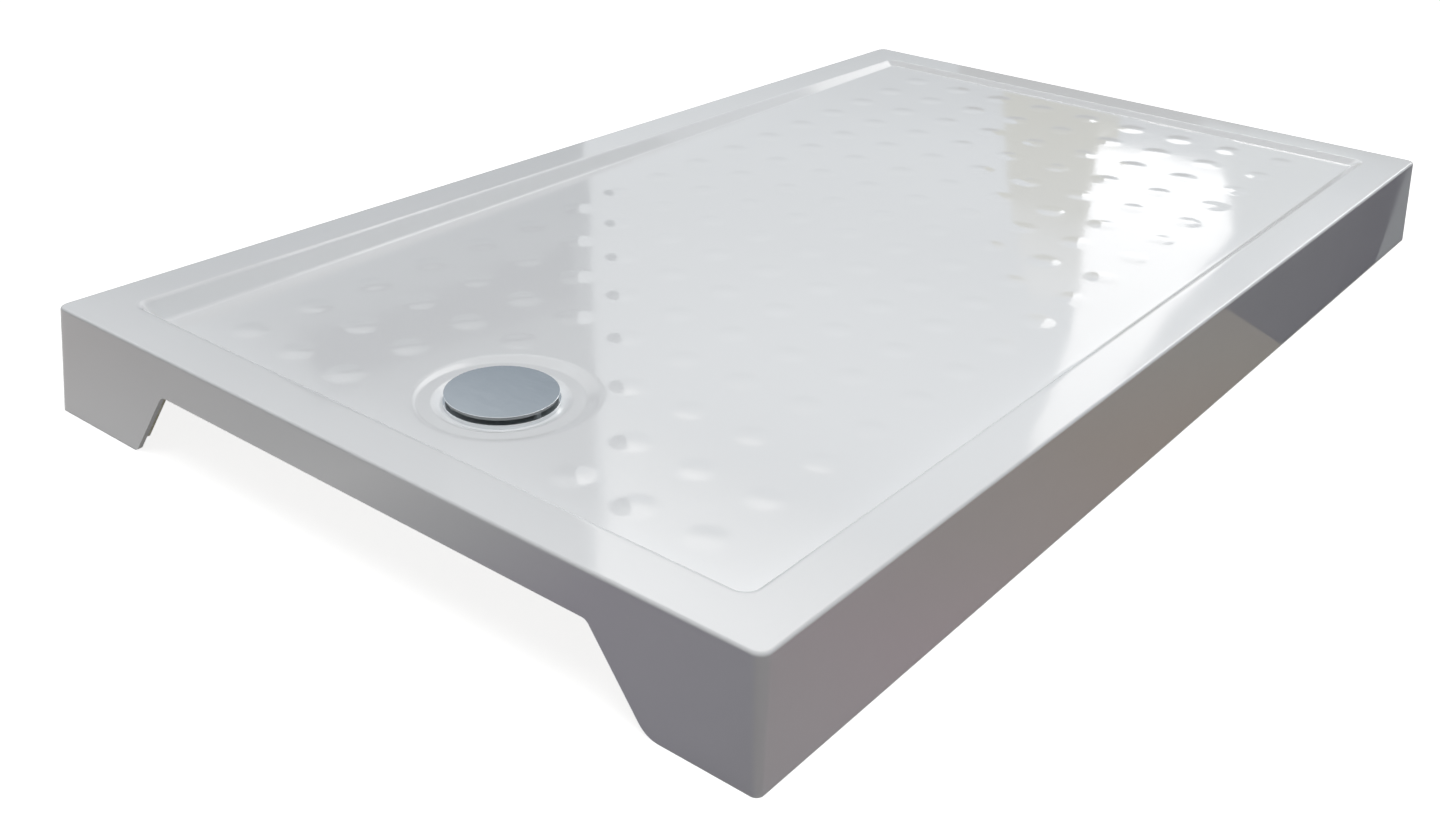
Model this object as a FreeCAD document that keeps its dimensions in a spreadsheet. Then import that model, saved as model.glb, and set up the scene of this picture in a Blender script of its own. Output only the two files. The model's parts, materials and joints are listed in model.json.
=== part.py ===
"""Low acrylic shower tray, 1200 x 700 mm, with its waste, trap and adjustable feet.

Frame: X across the tray, Y along it, Z up, millimetres. The origin is the centre of the
tray's footprint, on the ground. The waste and the pipe cut-out are at the -Y end.
"""
import FreeCAD, Part
import math
import os
import Sketcher

DOC = FreeCAD.newDocument("shower_tray")
SHEET = DOC.addObject("Spreadsheet::Sheet", "Size")

DRIVING_DIMENSIONS = (
    # small chamfers of moulded and turned pieces, and how far a cutter runs past what it cuts
    ("edge_break", 1),
    ("cutter_overrun", 1),
    # the moulding, rim and skirts
    ("tray_width", 700),
    ("tray_length", 1200),
    ("tray_height", 91.5),
    ("skirt_flare", 7),
    ("corner_radius", 11),
    ("rim_edge_radius", 3.5),
    ("shell_thickness", 4),
    ("laminate_thickness", 2.5),
    ("laminate_trim_height", 14),
    # the shallow basin inside the rim
    ("rim_width", 42),
    ("wall_run", 10),
    ("basin_corner_radius", 12),
    ("floor_corner_radius", 5),
    ("depth_far_end", 5),
    ("depth_waste_end", 18),
    ("wall_roll_radius", 4),
    ("wall_foot_radius", 5),
    ("backing_mitre", 0.45),
    ("recess_mitre", 0.1),
    # the anti-slip domes
    ("dome_radius", 17),
    ("dome_rise", 1),
    ("dome_root", 0.5),
    ("dome_pitch_across", 58.5),
    ("dome_pitch_along", 63),
    # the stepped recess round the waste
    ("waste_offset", 454),
    ("outer_ring_radius", 66.5),
    ("outer_ring_level", 73.2),
    ("inner_ring_radius", 52),
    ("inner_ring_level", 71),
    ("ring_slope_run", 6),
    ("ring_edge_radius", 2),
    ("waste_hole_radius", 30),
    # the pipe cut-out in the waste-end skirt
    ("cutout_top_level", 58.5),
    ("cutout_top_left", 211),
    ("cutout_top_right", 222),
    ("cutout_foot_left", 250),
    ("cutout_foot_right", 274),
    ("cutout_lip_left", 7),
    ("cutout_lip_right", 22),
    ("cutout_top_radius", 8),
    ("cutout_inside_reach", 40),
    ("cutout_block_depth", 60),
    ("cutout_block_foot", 10),
    # the reinforcement board
    ("board_width", 560),
    ("board_length", 1060),
    ("board_thickness", 12),
    ("board_corner_radius", 20),
    ("board_hole_radius", 85),
    # the feet
    ("foot_spread_across", 225),
    ("foot_spread_along", 400),
    ("bracket_radius", 34),
    ("bracket_plate", 5),
    ("bracket_boss_radius", 14),
    ("bracket_boss_drop", 13),
    ("bracket_rib", 2.4),
    ("bracket_trim", 2),
    ("rod_radius", 6),
    ("rod_clearance", 0.05),
    ("rod_end_level", 3.2),
    ("rod_headroom", 4),
    ("rod_grip_width", 17),
    ("rod_grip_bottom", 15.1),
    ("rod_grip_top", 21),
    ("pad_radius", 26),
    ("pad_plate", 4.5),
    ("pad_hub_radius", 12),
    ("pad_hub_top", 15),
    ("pad_floor", 3),
    ("pad_cone", 1.5),
    ("pad_rib", 2),
    ("rib_inset", 3),
    ("lock_nut_width", 18),
    ("lock_nut_thickness", 7),
    ("screw_radius", 1.9),
    ("screw_head_radius", 3.9),
    ("screw_head_depth", 2.4),
    ("screw_tip", 2),
    ("screw_length", 13),
    ("screw_circle_radius", 25),
    # the waste
    ("cover_radius", 43),
    ("cover_top_level", 80.2),
    ("cover_thickness", 3),
    ("cover_edge_radius", 1.5),
    ("cover_skin", 1.2),
    ("flange_radius", 43),
    ("flange_rim", 2.4),
    ("flange_bevel_run", 3),
    ("flange_bevel_depth", 2),
    ("flange_seal_thickness", 0.8),
    ("flange_seal_inset", 0.6),
    ("carrier_clearance", 0.1),
    ("carrier_root", 0.5),
    ("carrier_leg_radius", 3),
    ("carrier_leg_inset", 7),
    ("stem_half_fin", 1),
    ("stem_reach", 8),
    ("throat_radius", 28),
    ("throat_bore_radius", 26),
    ("throat_ledge_radius", 24.2),
    ("throat_ledge_level", 65),
    ("throat_ledge_thickness", 2),
    ("throat_bottom_level", 47),
    ("underside_seal_thickness", 2.5),
    ("underside_seal_radius", 43),
    ("underside_seal_clearance", 1),
    ("tube_radius", 17),
    ("tube_bore_radius", 15),
    ("tube_bottom_level", 22),
    ("tube_collar_top", 69.5),
    ("tube_collar_cone", 3),
    ("tube_guide_clearance", 0.5),
    ("tube_mouth_bevel", 2),
    ("tube_fin_thickness", 2),
    ("tube_fin_lift", 4),
    ("tube_fin_taper", 6),
    ("groove_lip", 0.6),
    ("collar_clearance", 0.3),
    ("oring_section", 1.6),
    ("oring_clearance", 0.05),
    ("cup_radius", 23.6),
    ("cup_wall", 1.8),
    ("cup_bottom_level", 12),
    ("cup_rim_level", 45),
    ("cup_bevel", 3),
    ("cup_inner_bevel", 2),
    # the trap
    ("trap_radius", 50),
    ("trap_wall", 2.6),
    ("trap_bottom_level", 4),
    ("trap_bevel", 5),
    ("trap_inner_bevel", 4),
    ("trap_neck_land", 1),
    ("thread_clearance", 0.1),
    ("trap_shoulder_level", 57),
    ("trap_lid_thickness", 3),
    ("outlet_axis_level", 31.5),
    ("outlet_boss_radius", 22.3),
    ("outlet_boss_reach", 51.5),
    ("outlet_insert_radius", 19.8),
    ("outlet_insert_reach", 44),
    ("outlet_bore_start", 35),
    ("outlet_bore_radius", 17.5),
    ("outlet_socket_radius", 20.2),
    ("outlet_thread_radius", 24),
    ("outlet_reach", 74),
    ("outlet_socket_depth", 20),
    ("nut_radius", 28),
    ("nut_length", 24),
    ("nut_lip", 3),
    ("nut_lip_bore_radius", 20.6),
    ("nut_grip_radius", 1.6),
    ("nut_overhang", 7),
    ("seal_clearance", 0.2),
    ("seal_land", 1.5),
    ("seal_nose", 1.2),
    ("seal_depth", 4),
)

for row, (alias, size) in enumerate(DRIVING_DIMENSIONS, start=1):
    SHEET.set("A%d" % row, alias)
    SHEET.set("B%d" % row, str(size))
    SHEET.setAlias("B%d" % row, alias)
DOC.recompute()

# How many of each repeated form.
FOOT_RIBS = 6
SCREW_TURNS = (90, 210, 330)
CARRIER_LEGS = 3
TUBE_FINS = 4
NUT_GRIPS = 18

# Edges are found by where they lie, within these distances.
NEAR = 0.1
NEAR_ON_SLOPE = 0.6
NEAR_LEVEL = 0.2
NEAR_WASTE_AXIS = 1.5

# Every sub-part ends up here: node name -> document object.
NODES = {}


# ---------------------------------------------------------------- expressions

def bound(expression):
    """Write the aliases of an expression in full, so that it reads the sheet."""
    words = []
    word = ""
    for letter in expression + " ":
        if letter.isalpha() or letter == "_":
            word += letter
            continue
        if word:
            is_alias = word in ALIASES
            words.append("Size." + word if is_alias else word)
            word = ""
        words.append(letter)
    return "".join(words).strip()


def number(expression):
    """The value that an expression of sheet aliases has now."""
    result = SHEET.evalExpression(bound(expression))
    return float(getattr(result, "Value", result))


ALIASES = {alias for alias, _ in DRIVING_DIMENSIONS}

# Lengths that follow from the driving ones.
HALF_WIDTH = "tray_width / 2"
HALF_LENGTH = "tray_length / 2"
BASIN_LENGTH = "(tray_length - 2 * rim_width - 2 * wall_run)"
FLOOR_SLOPE = "atan((depth_waste_end - depth_far_end) / %s)" % BASIN_LENGTH
MID_DEPTH = "(depth_waste_end + depth_far_end) / 2"
BACKING = "(shell_thickness + laminate_thickness)"
BOARD_TOP = "(tray_height - %s - %s)" % (MID_DEPTH, BACKING)
WASTE_UNDERSIDE = "(inner_ring_level - %s)" % BACKING
TRAP_TOP = "(%s - underside_seal_thickness)" % WASTE_UNDERSIDE
FLOOR_FALL = "((depth_waste_end - depth_far_end) / %s)" % BASIN_LENGTH
WASTE_FLOOR_LEVEL = "(tray_height - %s - waste_offset * %s)" % (MID_DEPTH, FLOOR_FALL)
FLANGE_BOTTOM = "(inner_ring_level + flange_seal_thickness)"
FLANGE_TOP = "(%s + flange_rim)" % FLANGE_BOTTOM
COVER_BOTTOM = "(cover_top_level - cover_thickness)"
TRAP_RIM = "(trap_shoulder_level - trap_lid_thickness)"


# ---------------------------------------------------------------- features

def origin_plane(body, role):
    """A body's own origin plane, found by its role."""
    for feature in body.Origin.OriginFeatures:
        if feature.Role == role:
            return feature
    raise RuntimeError("no plane " + role)


def new_body(name):
    body = DOC.addObject("PartDesign::Body", name + "_body")
    body.Label = name
    return body


def new_sketch(body, name, role="XY_Plane", lift=None, tilt=None):
    """A sketch on an origin plane, lifted along its normal and tilted about its X axis."""
    sketch = body.newObject("Sketcher::SketchObject", name)
    sketch.AttachmentSupport = [(origin_plane(body, role), "")]
    sketch.MapMode = "FlatFace"
    if tilt is not None:
        x_axis = FreeCAD.Vector(1, 0, 0)
        sketch.AttachmentOffset = FreeCAD.Placement(FreeCAD.Vector(), FreeCAD.Rotation(x_axis, 1))
        sketch.setExpression("AttachmentOffset.Rotation.Angle", bound(tilt))
    if lift is not None:
        sketch.setExpression("AttachmentOffset.Base.z", bound(lift))
    return sketch


def constrain(sketch, expression, *constraint):
    """Add a constraint whose value follows an expression of the sheet."""
    index = sketch.addConstraint(Sketcher.Constraint(*constraint, number(expression)))
    sketch.setExpression("Constraints[%d]" % index, bound(expression))


def place_point(sketch, geometry, point, across, up):
    """Fix one point of a sketch by its distances from the sketch's origin."""
    constrain(sketch, across, "DistanceX", -1, 1, geometry, point)
    constrain(sketch, up, "DistanceY", -1, 1, geometry, point)


def rounded_rectangle(sketch, half_x, half_y, radius):
    """A centred rectangle with rounded corners: four lines and four tangent arcs."""
    hx, hy, r = number(half_x), number(half_y), number(radius)
    z_axis = FreeCAD.Vector(0, 0, 1)
    corners = ((1, -1, -90), (1, 1, 0), (-1, 1, 90), (-1, -1, 180))
    arcs = []
    for sign_x, sign_y, start in corners:
        centre = FreeCAD.Vector(sign_x * (hx - r), sign_y * (hy - r), 0)
        circle = Part.Circle(centre, z_axis, r)
        arc = Part.ArcOfCircle(circle, math.radians(start), math.radians(start + 90))
        arcs.append(sketch.addGeometry(arc, False))
    lines = []
    for i, arc in enumerate(arcs):
        begin = sketch.getPoint(arc, 2)
        end = sketch.getPoint(arcs[(i + 1) % 4], 1)
        lines.append(sketch.addGeometry(Part.LineSegment(begin, end), False))
    for i, line in enumerate(lines):
        sketch.addConstraint(Sketcher.Constraint("Tangent", arcs[i], 2, line, 1))
        sketch.addConstraint(Sketcher.Constraint("Tangent", line, 2, arcs[(i + 1) % 4], 1))
    for arc, (sign_x, sign_y, _) in zip(arcs, corners):
        across = "%d * (%s - (%s))" % (sign_x, half_x, radius)
        along = "%d * (%s - (%s))" % (sign_y, half_y, radius)
        place_point(sketch, arc, 3, across, along)
    constrain(sketch, radius, "Radius", arcs[0])
    for arc in arcs[1:]:
        sketch.addConstraint(Sketcher.Constraint("Equal", arcs[0], arc))
    return sketch


def circle(sketch, radius, across="0", up="0"):
    centre = FreeCAD.Vector(number(across), number(up), 0)
    round_line = Part.Circle(centre, FreeCAD.Vector(0, 0, 1), number(radius))
    index = sketch.addGeometry(round_line, False)
    constrain(sketch, radius, "Radius", index)
    place_point(sketch, index, 3, across, up)
    return sketch


def polygon(sketch, corners):
    """A closed outline through corners that are given as pairs of expressions."""
    points = [FreeCAD.Vector(number(a), number(b), 0) for a, b in corners]
    lines = []
    for i, point in enumerate(points):
        following = points[(i + 1) % len(points)]
        lines.append(sketch.addGeometry(Part.LineSegment(point, following), False))
    for i, line in enumerate(lines):
        following = lines[(i + 1) % len(lines)]
        sketch.addConstraint(Sketcher.Constraint("Coincident", line, 2, following, 1))
        place_point(sketch, line, 1, *corners[i])
    return sketch


def hexagon(sketch, across_flats):
    """A centred hexagon, flats square to the sketch's Y axis."""
    reach = "(%s) / sqrt(3)" % across_flats
    half_flat = "(%s) / 2" % across_flats
    corners = []
    for side, up in ((1, 0), (0.5, 1), (-0.5, 1), (-1, 0), (-0.5, -1), (0.5, -1)):
        corners.append(("%s * %s" % (side, reach), "%s * %s" % (up, half_flat)))
    return polygon(sketch, corners)


def extrude(body, kind, sketch, length, name, reverse=False):
    """A Pad or a Pocket of a sketch, whose length follows the sheet."""
    feature = body.newObject("PartDesign::" + kind, name)
    feature.Profile = sketch
    feature.setExpression("Length", bound(length))
    feature.Reversed = reverse
    sketch.Visibility = False
    return feature


def spin(body, kind, sketch, name):
    """A full Revolution or Groove of a sketch about its own vertical axis."""
    feature = body.newObject("PartDesign::" + kind, name)
    feature.Profile = sketch
    feature.ReferenceAxis = (sketch, ["V_Axis"])
    feature.Angle = 360
    return feature


def turned(body, name, corners, kind="Revolution"):
    """A turned form: an outline of (radius, height) pairs, spun about the body's Z axis."""
    sketch = polygon(new_sketch(body, name + "_outline", "XZ_Plane"), corners)
    return spin(body, kind, sketch, name)


def repeat_round(body, feature, axis, count, name):
    """Repeat a feature evenly round an axis, given as a sketch and the name of its axis."""
    DOC.recompute()
    pattern = body.newObject("PartDesign::PolarPattern", name)
    pattern.Originals = [feature]
    pattern.Axis = (axis[0], [axis[1]])
    pattern.Angle = 360
    pattern.Occurrences = count
    body.Tip = pattern


def blend(body, radius, wanted, name):
    """Round the edges of a body's last feature for which wanted(edge) is true."""
    DOC.recompute()
    base = body.Tip
    names = []
    for i, edge in enumerate(base.Shape.Edges, start=1):
        if wanted(edge):
            names.append("Edge%d" % i)
    if not names:
        raise RuntimeError("no edges to round for " + name)
    fillet = body.newObject("PartDesign::Fillet", name)
    fillet.Base = (base, names)
    fillet.setExpression("Radius", bound(radius))
    return fillet


def near_level(edge, level, slack=0.05):
    box = edge.BoundBox
    return abs(box.ZMin - level) < slack and abs(box.ZMax - level) < slack


def cut(name, base, tool):
    result = DOC.addObject("Part::Cut", name)
    result.Base = base
    result.Tool = tool
    return result


def node(name, part):
    """Keep an object as the sub-part of that name."""
    part.Label = name
    NODES[name] = part
    return part


def put(part, x="0", y="0", z="0"):
    """Place a part at a point given by three expressions."""
    for axis, expression in zip("xyz", (x, y, z)):
        part.setExpression("Placement.Base." + axis, bound(expression))
    return part


def at_waste(part):
    return put(part, y="-waste_offset")


# ---------------------------------------------------------------- the moulding

def moulding(name, inset):
    """The tray as a solid block, set in by an inset from the real outer surface.

    The shell and its laminate are what lies between three of these blocks.
    """
    body = new_body(name)
    top = "(tray_height - (%s))" % inset
    corner = "corner_radius - (%s)" % inset
    flare = "skirt_flare - (%s)" % inset
    foot = new_sketch(body, name + "_footprint")
    rounded_rectangle(foot, "%s + %s" % (HALF_WIDTH, flare), "%s + %s" % (HALF_LENGTH, flare), corner)
    rim = new_sketch(body, name + "_rim_outline", lift=top)
    flare = "skirt_flare * (%s) / tray_height - (%s)" % (inset, inset)
    rounded_rectangle(rim, "%s + %s" % (HALF_WIDTH, flare), "%s + %s" % (HALF_LENGTH, flare), corner)
    block = body.newObject("PartDesign::AdditiveLoft", name + "_block")
    block.Profile = foot
    block.Sections = [rim]
    block.Ruled = True
    sink_basin(body, name, top, inset)
    return body


def sink_basin(body, name, top, inset):
    """The basin: from the level inner edge of the rim down to the sloping floor."""
    mitre = "backing_mitre * (%s)" % inset
    half_x = "%s - rim_width + %s" % (HALF_WIDTH, mitre)
    half_y = "%s - rim_width + %s" % (HALF_LENGTH, mitre)
    mouth = new_sketch(body, name + "_basin_mouth", lift=top)
    rounded_rectangle(mouth, half_x, half_y, "basin_corner_radius")
    floor = new_sketch(body, name + "_basin_floor", lift="%s - %s" % (top, MID_DEPTH), tilt=FLOOR_SLOPE)
    rounded_rectangle(floor, half_x + " - wall_run", half_y + " - wall_run", "floor_corner_radius")
    basin = body.newObject("PartDesign::SubtractiveLoft", name + "_basin")
    basin.Profile = mouth
    basin.Sections = [floor]
    basin.Ruled = True


def sink_waste_recess(body, name, inset):
    """Two round steps down to the waste, each with a sloping edge."""
    outer = "(outer_ring_radius + recess_mitre * (%s))" % inset
    inner = "(inner_ring_radius + recess_mitre * (%s))" % inset
    outer_level = "(outer_ring_level - (%s))" % inset
    inner_level = "(inner_ring_level - (%s))" % inset
    above = "(2 * %s - outer_ring_level - (%s))" % (WASTE_FLOOR_LEVEL, inset)
    corners = (
        ("0", inner_level),
        (inner + " - ring_slope_run", inner_level),
        (inner, outer_level),
        (outer + " - ring_slope_run", outer_level),
        (outer + " + ring_slope_run", above),
        ("0", above),
    )
    sketch = new_sketch(body, name + "_recess_outline", "XZ_Plane", lift="waste_offset")
    polygon(sketch, corners)
    spin(body, "Groove", sketch, name + "_recess")


def round_basin_walls(body):
    """Round the roll where rim meets wall, and the foot where wall meets floor."""
    x_top = number(HALF_WIDTH + " - rim_width")
    y_top = number(HALF_LENGTH + " - rim_width")
    wall_run = number("wall_run")
    rim_level = number("tray_height")
    lowest_roll = rim_level - number("wall_roll_radius")
    corner = number("floor_corner_radius")

    def is_roll(edge):
        box = edge.BoundBox
        beyond = max(box.XMax - x_top, box.YMax - y_top)
        return near_level(edge, rim_level) and abs(beyond) < NEAR

    def is_foot(edge):
        middle = edge.BoundBox.Center
        below_rim = edge.BoundBox.ZMax < lowest_roll
        off_side = abs(abs(middle.x) - x_top + wall_run)
        off_end = abs(abs(middle.y) - y_top + wall_run)
        is_side = off_side < NEAR_ON_SLOPE and edge.BoundBox.YLength > y_top
        is_end = off_end < NEAR_ON_SLOPE and edge.BoundBox.XLength > x_top
        is_corner = max(off_side, off_end) < corner and edge.BoundBox.ZLength < NEAR_LEVEL
        return below_rim and (is_side or is_end or is_corner)

    blend(body, "wall_roll_radius", is_roll, "wall_roll")
    blend(body, "wall_foot_radius", is_foot, "wall_foot")


def round_recess_edges(body):
    """Soften the rims of the two steps round the waste."""
    waste_y = -number("waste_offset")
    low = number("inner_ring_radius - ring_slope_run - ring_edge_radius")
    high = number("outer_ring_radius + 2 * ring_edge_radius")

    def is_ring(edge):
        middle = edge.BoundBox.Center
        centred = max(abs(middle.x), abs(middle.y - waste_y)) < NEAR_WASTE_AXIS
        return centred and low < edge.BoundBox.XLength / 2 < high

    blend(body, "ring_edge_radius", is_ring, "ring_edges")


def dome_places():
    """Columns and rows of the square grid of domes, leaving out those over the recess."""
    across = number("dome_pitch_across")
    along = number("dome_pitch_along")
    columns = int((number(HALF_WIDTH + " - rim_width - wall_run - 2 * dome_radius")) / across)
    rows = int((number(HALF_LENGTH + " - rim_width - wall_run - 2 * dome_radius")) / along)
    keep_clear = number("outer_ring_radius + ring_slope_run + dome_radius")
    waste_y = -number("waste_offset")
    for row in range(-rows, rows + 1):
        for column in range(-columns, columns + 1):
            x = column * across
            y = row * along
            if math.hypot(x, y - waste_y) > keep_clear:
                yield x, y


def domes():
    """The anti-slip domes: spherical caps that stand on the sloping floor."""
    radius = number("dome_radius")
    rise = number("dome_rise")
    root = number("dome_root")
    ball = (radius ** 2 + rise ** 2) / (2 * rise)
    slope = math.radians(number(FLOOR_SLOPE))
    mid_level = number("tray_height - " + MID_DEPTH)
    crown = FreeCAD.Vector(0, 0, rise)
    shoulder = FreeCAD.Vector(radius, 0, 0)
    half_angle = math.asin(radius / ball) / 2
    between = FreeCAD.Vector(ball * math.sin(half_angle), 0, rise - ball * (1 - math.cos(half_angle)))
    foot = FreeCAD.Vector(radius, 0, -root)
    centre = FreeCAD.Vector(0, 0, -root)
    outline = Part.Wire([
        Part.Arc(crown, between, shoulder).toShape(),
        Part.makeLine(shoulder, foot),
        Part.makeLine(foot, centre),
        Part.makeLine(centre, crown),
    ])
    cap = Part.Face(outline).revolve(FreeCAD.Vector(), FreeCAD.Vector(0, 0, 1), 360)
    caps = []
    for x, y in dome_places():
        copy = cap.copy()
        copy.translate(FreeCAD.Vector(x, y, mid_level + y * math.tan(slope)))
        caps.append(copy)
    feature = DOC.addObject("Part::Feature", "dome_caps")
    feature.Shape = Part.makeCompound(caps)
    return feature


def cutout_tool():
    """The trapezoid that is sawn out of the waste-end skirt for the pipe."""
    body = new_body("pipe_cutout")
    sketch = new_sketch(body, "cutout_outline", "XZ_Plane")
    below = "-cutout_block_foot"
    corners = (
        ("-cutout_foot_left - cutout_lip_left", below),
        ("-cutout_foot_left - cutout_lip_left", "0"),
        ("-cutout_foot_left", "0"),
        ("-cutout_top_left", "cutout_top_level"),
        ("cutout_top_right", "cutout_top_level"),
        ("cutout_foot_right", "0"),
        ("cutout_foot_right + cutout_lip_right", "0"),
        ("cutout_foot_right + cutout_lip_right", below),
    )
    polygon(sketch, corners)
    extrude(body, "Pad", sketch, "cutout_block_depth", "cutout_block")

    def along_y_at(across, level):
        x, z = number(across), number(level)

        def wanted(edge):
            box = edge.BoundBox
            return max(abs(box.XMin - x), abs(box.XMax - x), abs(box.ZMin - z), abs(box.ZMax - z)) < NEAR
        return wanted

    blend(body, "cutout_lip_left", along_y_at("-cutout_foot_left", "0"), "cutout_left_lip")
    blend(body, "cutout_lip_right", along_y_at("cutout_foot_right", "0"), "cutout_right_lip")
    for side, corner in (("left", "-cutout_top_left"), ("right", "cutout_top_right")):
        blend(body, "cutout_top_radius", along_y_at(corner, "cutout_top_level"), "cutout_top_" + side)
    return put(body, y="cutout_inside_reach - (%s)" % HALF_LENGTH)


def waste_hole():
    hole = DOC.addObject("Part::Cylinder", "waste_hole")
    hole.setExpression("Radius", bound("waste_hole_radius"))
    hole.setExpression("Height", bound("tray_height"))
    return at_waste(hole)


def make_mouldings():
    """The acrylic shell, and the laminate that backs it."""
    outside = moulding("outer_moulding", "0")
    rim_level = number("tray_height")
    half_width = number(HALF_WIDTH)
    half_length = number(HALF_LENGTH)

    def on_rim_edge(edge):
        box = edge.BoundBox
        outermost = max(box.XMax - half_width, -half_width - box.XMin,
                        box.YMax - half_length, -half_length - box.YMin)
        return near_level(edge, rim_level) and abs(outermost) < NEAR

    blend(outside, "rim_edge_radius", on_rim_edge, "rim_outer_edge")
    round_basin_walls(outside)
    sink_waste_recess(outside, "outer_moulding", "0")
    round_recess_edges(outside)

    inside = moulding("shell_inner_face", "shell_thickness")
    sink_waste_recess(inside, "shell_inner_face", "shell_thickness")
    behind = moulding("laminate_inner_face", BACKING)
    sink_waste_recess(behind, "laminate_inner_face", BACKING)
    domed = DOC.addObject("Part::Fuse", "domed_moulding")
    domed.Base = outside
    domed.Tool = domes()

    hole = waste_hole()
    opening = cutout_tool()
    shell = cut("hollow_shell", domed, inside)
    shell = cut("shell_with_hole", shell, hole)
    node("tray_shell", cut("acrylic_shell", shell, opening))

    trim = DOC.addObject("Part::Box", "laminate_trim")
    trim.setExpression("Width", bound("tray_length * 2"))
    trim.setExpression("Length", bound("tray_width * 2"))
    trim.setExpression("Height", bound("laminate_trim_height"))
    put(trim, "-tray_width", "-tray_length", "0")
    laminate = cut("hollow_laminate", inside, behind)
    laminate = cut("laminate_with_hole", laminate, hole)
    laminate = cut("laminate_with_cutout", laminate, opening)
    node("laminate_backing", cut("trimmed_laminate", laminate, trim))


# ---------------------------------------------------------------- board and feet

def foot_places():
    """The six feet: expressions for x and y."""
    places = []
    for along in (-1, 0, 1):
        for across in (-1, 1):
            places.append(("%d * foot_spread_across" % across, "%d * foot_spread_along" % along))
    return places


def board_bottom(y):
    """Level of the board's underside at a place along the tray."""
    return "(%s - board_thickness / cos(%s) + (%s) * %s)" % (BOARD_TOP, FLOOR_SLOPE, y, FLOOR_FALL)


def screw_places(x, y):
    """Three screws round a foot."""
    for turn in SCREW_TURNS:
        yield ("%s + screw_circle_radius * cos(%d)" % (x, turn),
               "%s + screw_circle_radius * sin(%d)" % (y, turn))


def make_board(screws):
    """Reinforcement board, parallel to the floor, with holes for the trap and the screws."""
    body = new_body("board_blank")
    outline = new_sketch(body, "board_outline", lift=BOARD_TOP, tilt=FLOOR_SLOPE)
    rounded_rectangle(outline, "board_width / 2", "board_length / 2", "board_corner_radius")
    extrude(body, "Pad", outline, "board_thickness", "board_sheet", reverse=True)
    holes = new_sketch(body, "board_trap_hole", lift=BOARD_TOP, tilt=FLOOR_SLOPE)
    circle(holes, "board_hole_radius", up="-waste_offset")
    extrude(body, "Pocket", holes, "board_thickness + cutter_overrun", "board_trap_opening")
    node("support_board", cut("drilled_board", body, screws))


def bracket_blank(index, x, y):
    """Socket plate with a ribbed boss; its top face lies against the sloping board."""
    name = "foot_bracket_%d" % index
    body = new_body(name + "_blank")
    top = board_bottom(y)
    plate_bottom = "(%s - bracket_plate)" % top
    boss_bottom = "(%s - bracket_boss_drop)" % plate_bottom
    bore = "rod_radius + rod_clearance"
    corners = (
        (bore, boss_bottom),
        ("bracket_boss_radius - edge_break", boss_bottom),
        ("bracket_boss_radius", boss_bottom + " + edge_break"),
        ("bracket_boss_radius + edge_break", plate_bottom),
        ("bracket_radius - edge_break", plate_bottom),
        ("bracket_radius", plate_bottom + " + edge_break"),
        ("bracket_radius", top + " + bracket_trim"),
        (bore, top + " + bracket_trim"),
    )
    turned(body, name + "_turned", corners)
    ribs = new_sketch(body, name + "_rib_outline", "XZ_Plane")
    polygon(ribs, (
        ("bracket_boss_radius - edge_break", boss_bottom + " + 2 * edge_break"),
        ("bracket_boss_radius + edge_break", boss_bottom + " + 2 * edge_break"),
        ("bracket_radius - rib_inset", plate_bottom + " + edge_break"),
        ("bracket_boss_radius - edge_break", plate_bottom + " + edge_break"),
    ))
    rib = extrude(body, "Pad", ribs, "bracket_rib", name + "_rib")
    rib.Midplane = True
    repeat_round(body, rib, (ribs, "V_Axis"), FOOT_RIBS, name + "_ribs")
    put(body, x, y)
    return body


def make_bracket(index, x, y, board_space, screws):
    """A bracket, trimmed to the board's slope and drilled for its screws."""
    seated = cut("foot_bracket_%d_seated" % index, bracket_blank(index, x, y), board_space)
    node("foot_bracket_%d" % index, cut("foot_bracket_%d_drilled" % index, seated, screws))


def space_above_board_underside():
    body = new_body("board_space")
    lift = board_bottom("0")
    outline = new_sketch(body, "board_space_outline", lift=lift, tilt=FLOOR_SLOPE)
    rounded_rectangle(outline, HALF_WIDTH, HALF_LENGTH, "board_corner_radius")
    extrude(body, "Pad", outline, "board_thickness", "board_space_block")
    return body


def make_rod(index, x, y):
    """Threaded rod with a hexagon to turn it by; its end stands in the pad."""
    name = "foot_rod_%d" % index
    body = new_body(name)
    top = "(%s - rod_headroom)" % board_bottom(y)
    corners = (
        ("0", "rod_end_level"),
        ("rod_radius - edge_break", "rod_end_level"),
        ("rod_radius", "rod_end_level + edge_break"),
        ("rod_radius", top + " - edge_break"),
        ("rod_radius - edge_break", top),
        ("0", top),
    )
    turned(body, name + "_shaft", corners)
    grip = new_sketch(body, name + "_grip_outline", lift="rod_grip_bottom")
    hexagon(grip, "rod_grip_width")
    extrude(body, "Pad", grip, "rod_grip_top - rod_grip_bottom", name + "_grip")
    node(name, put(body, x, y))


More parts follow.
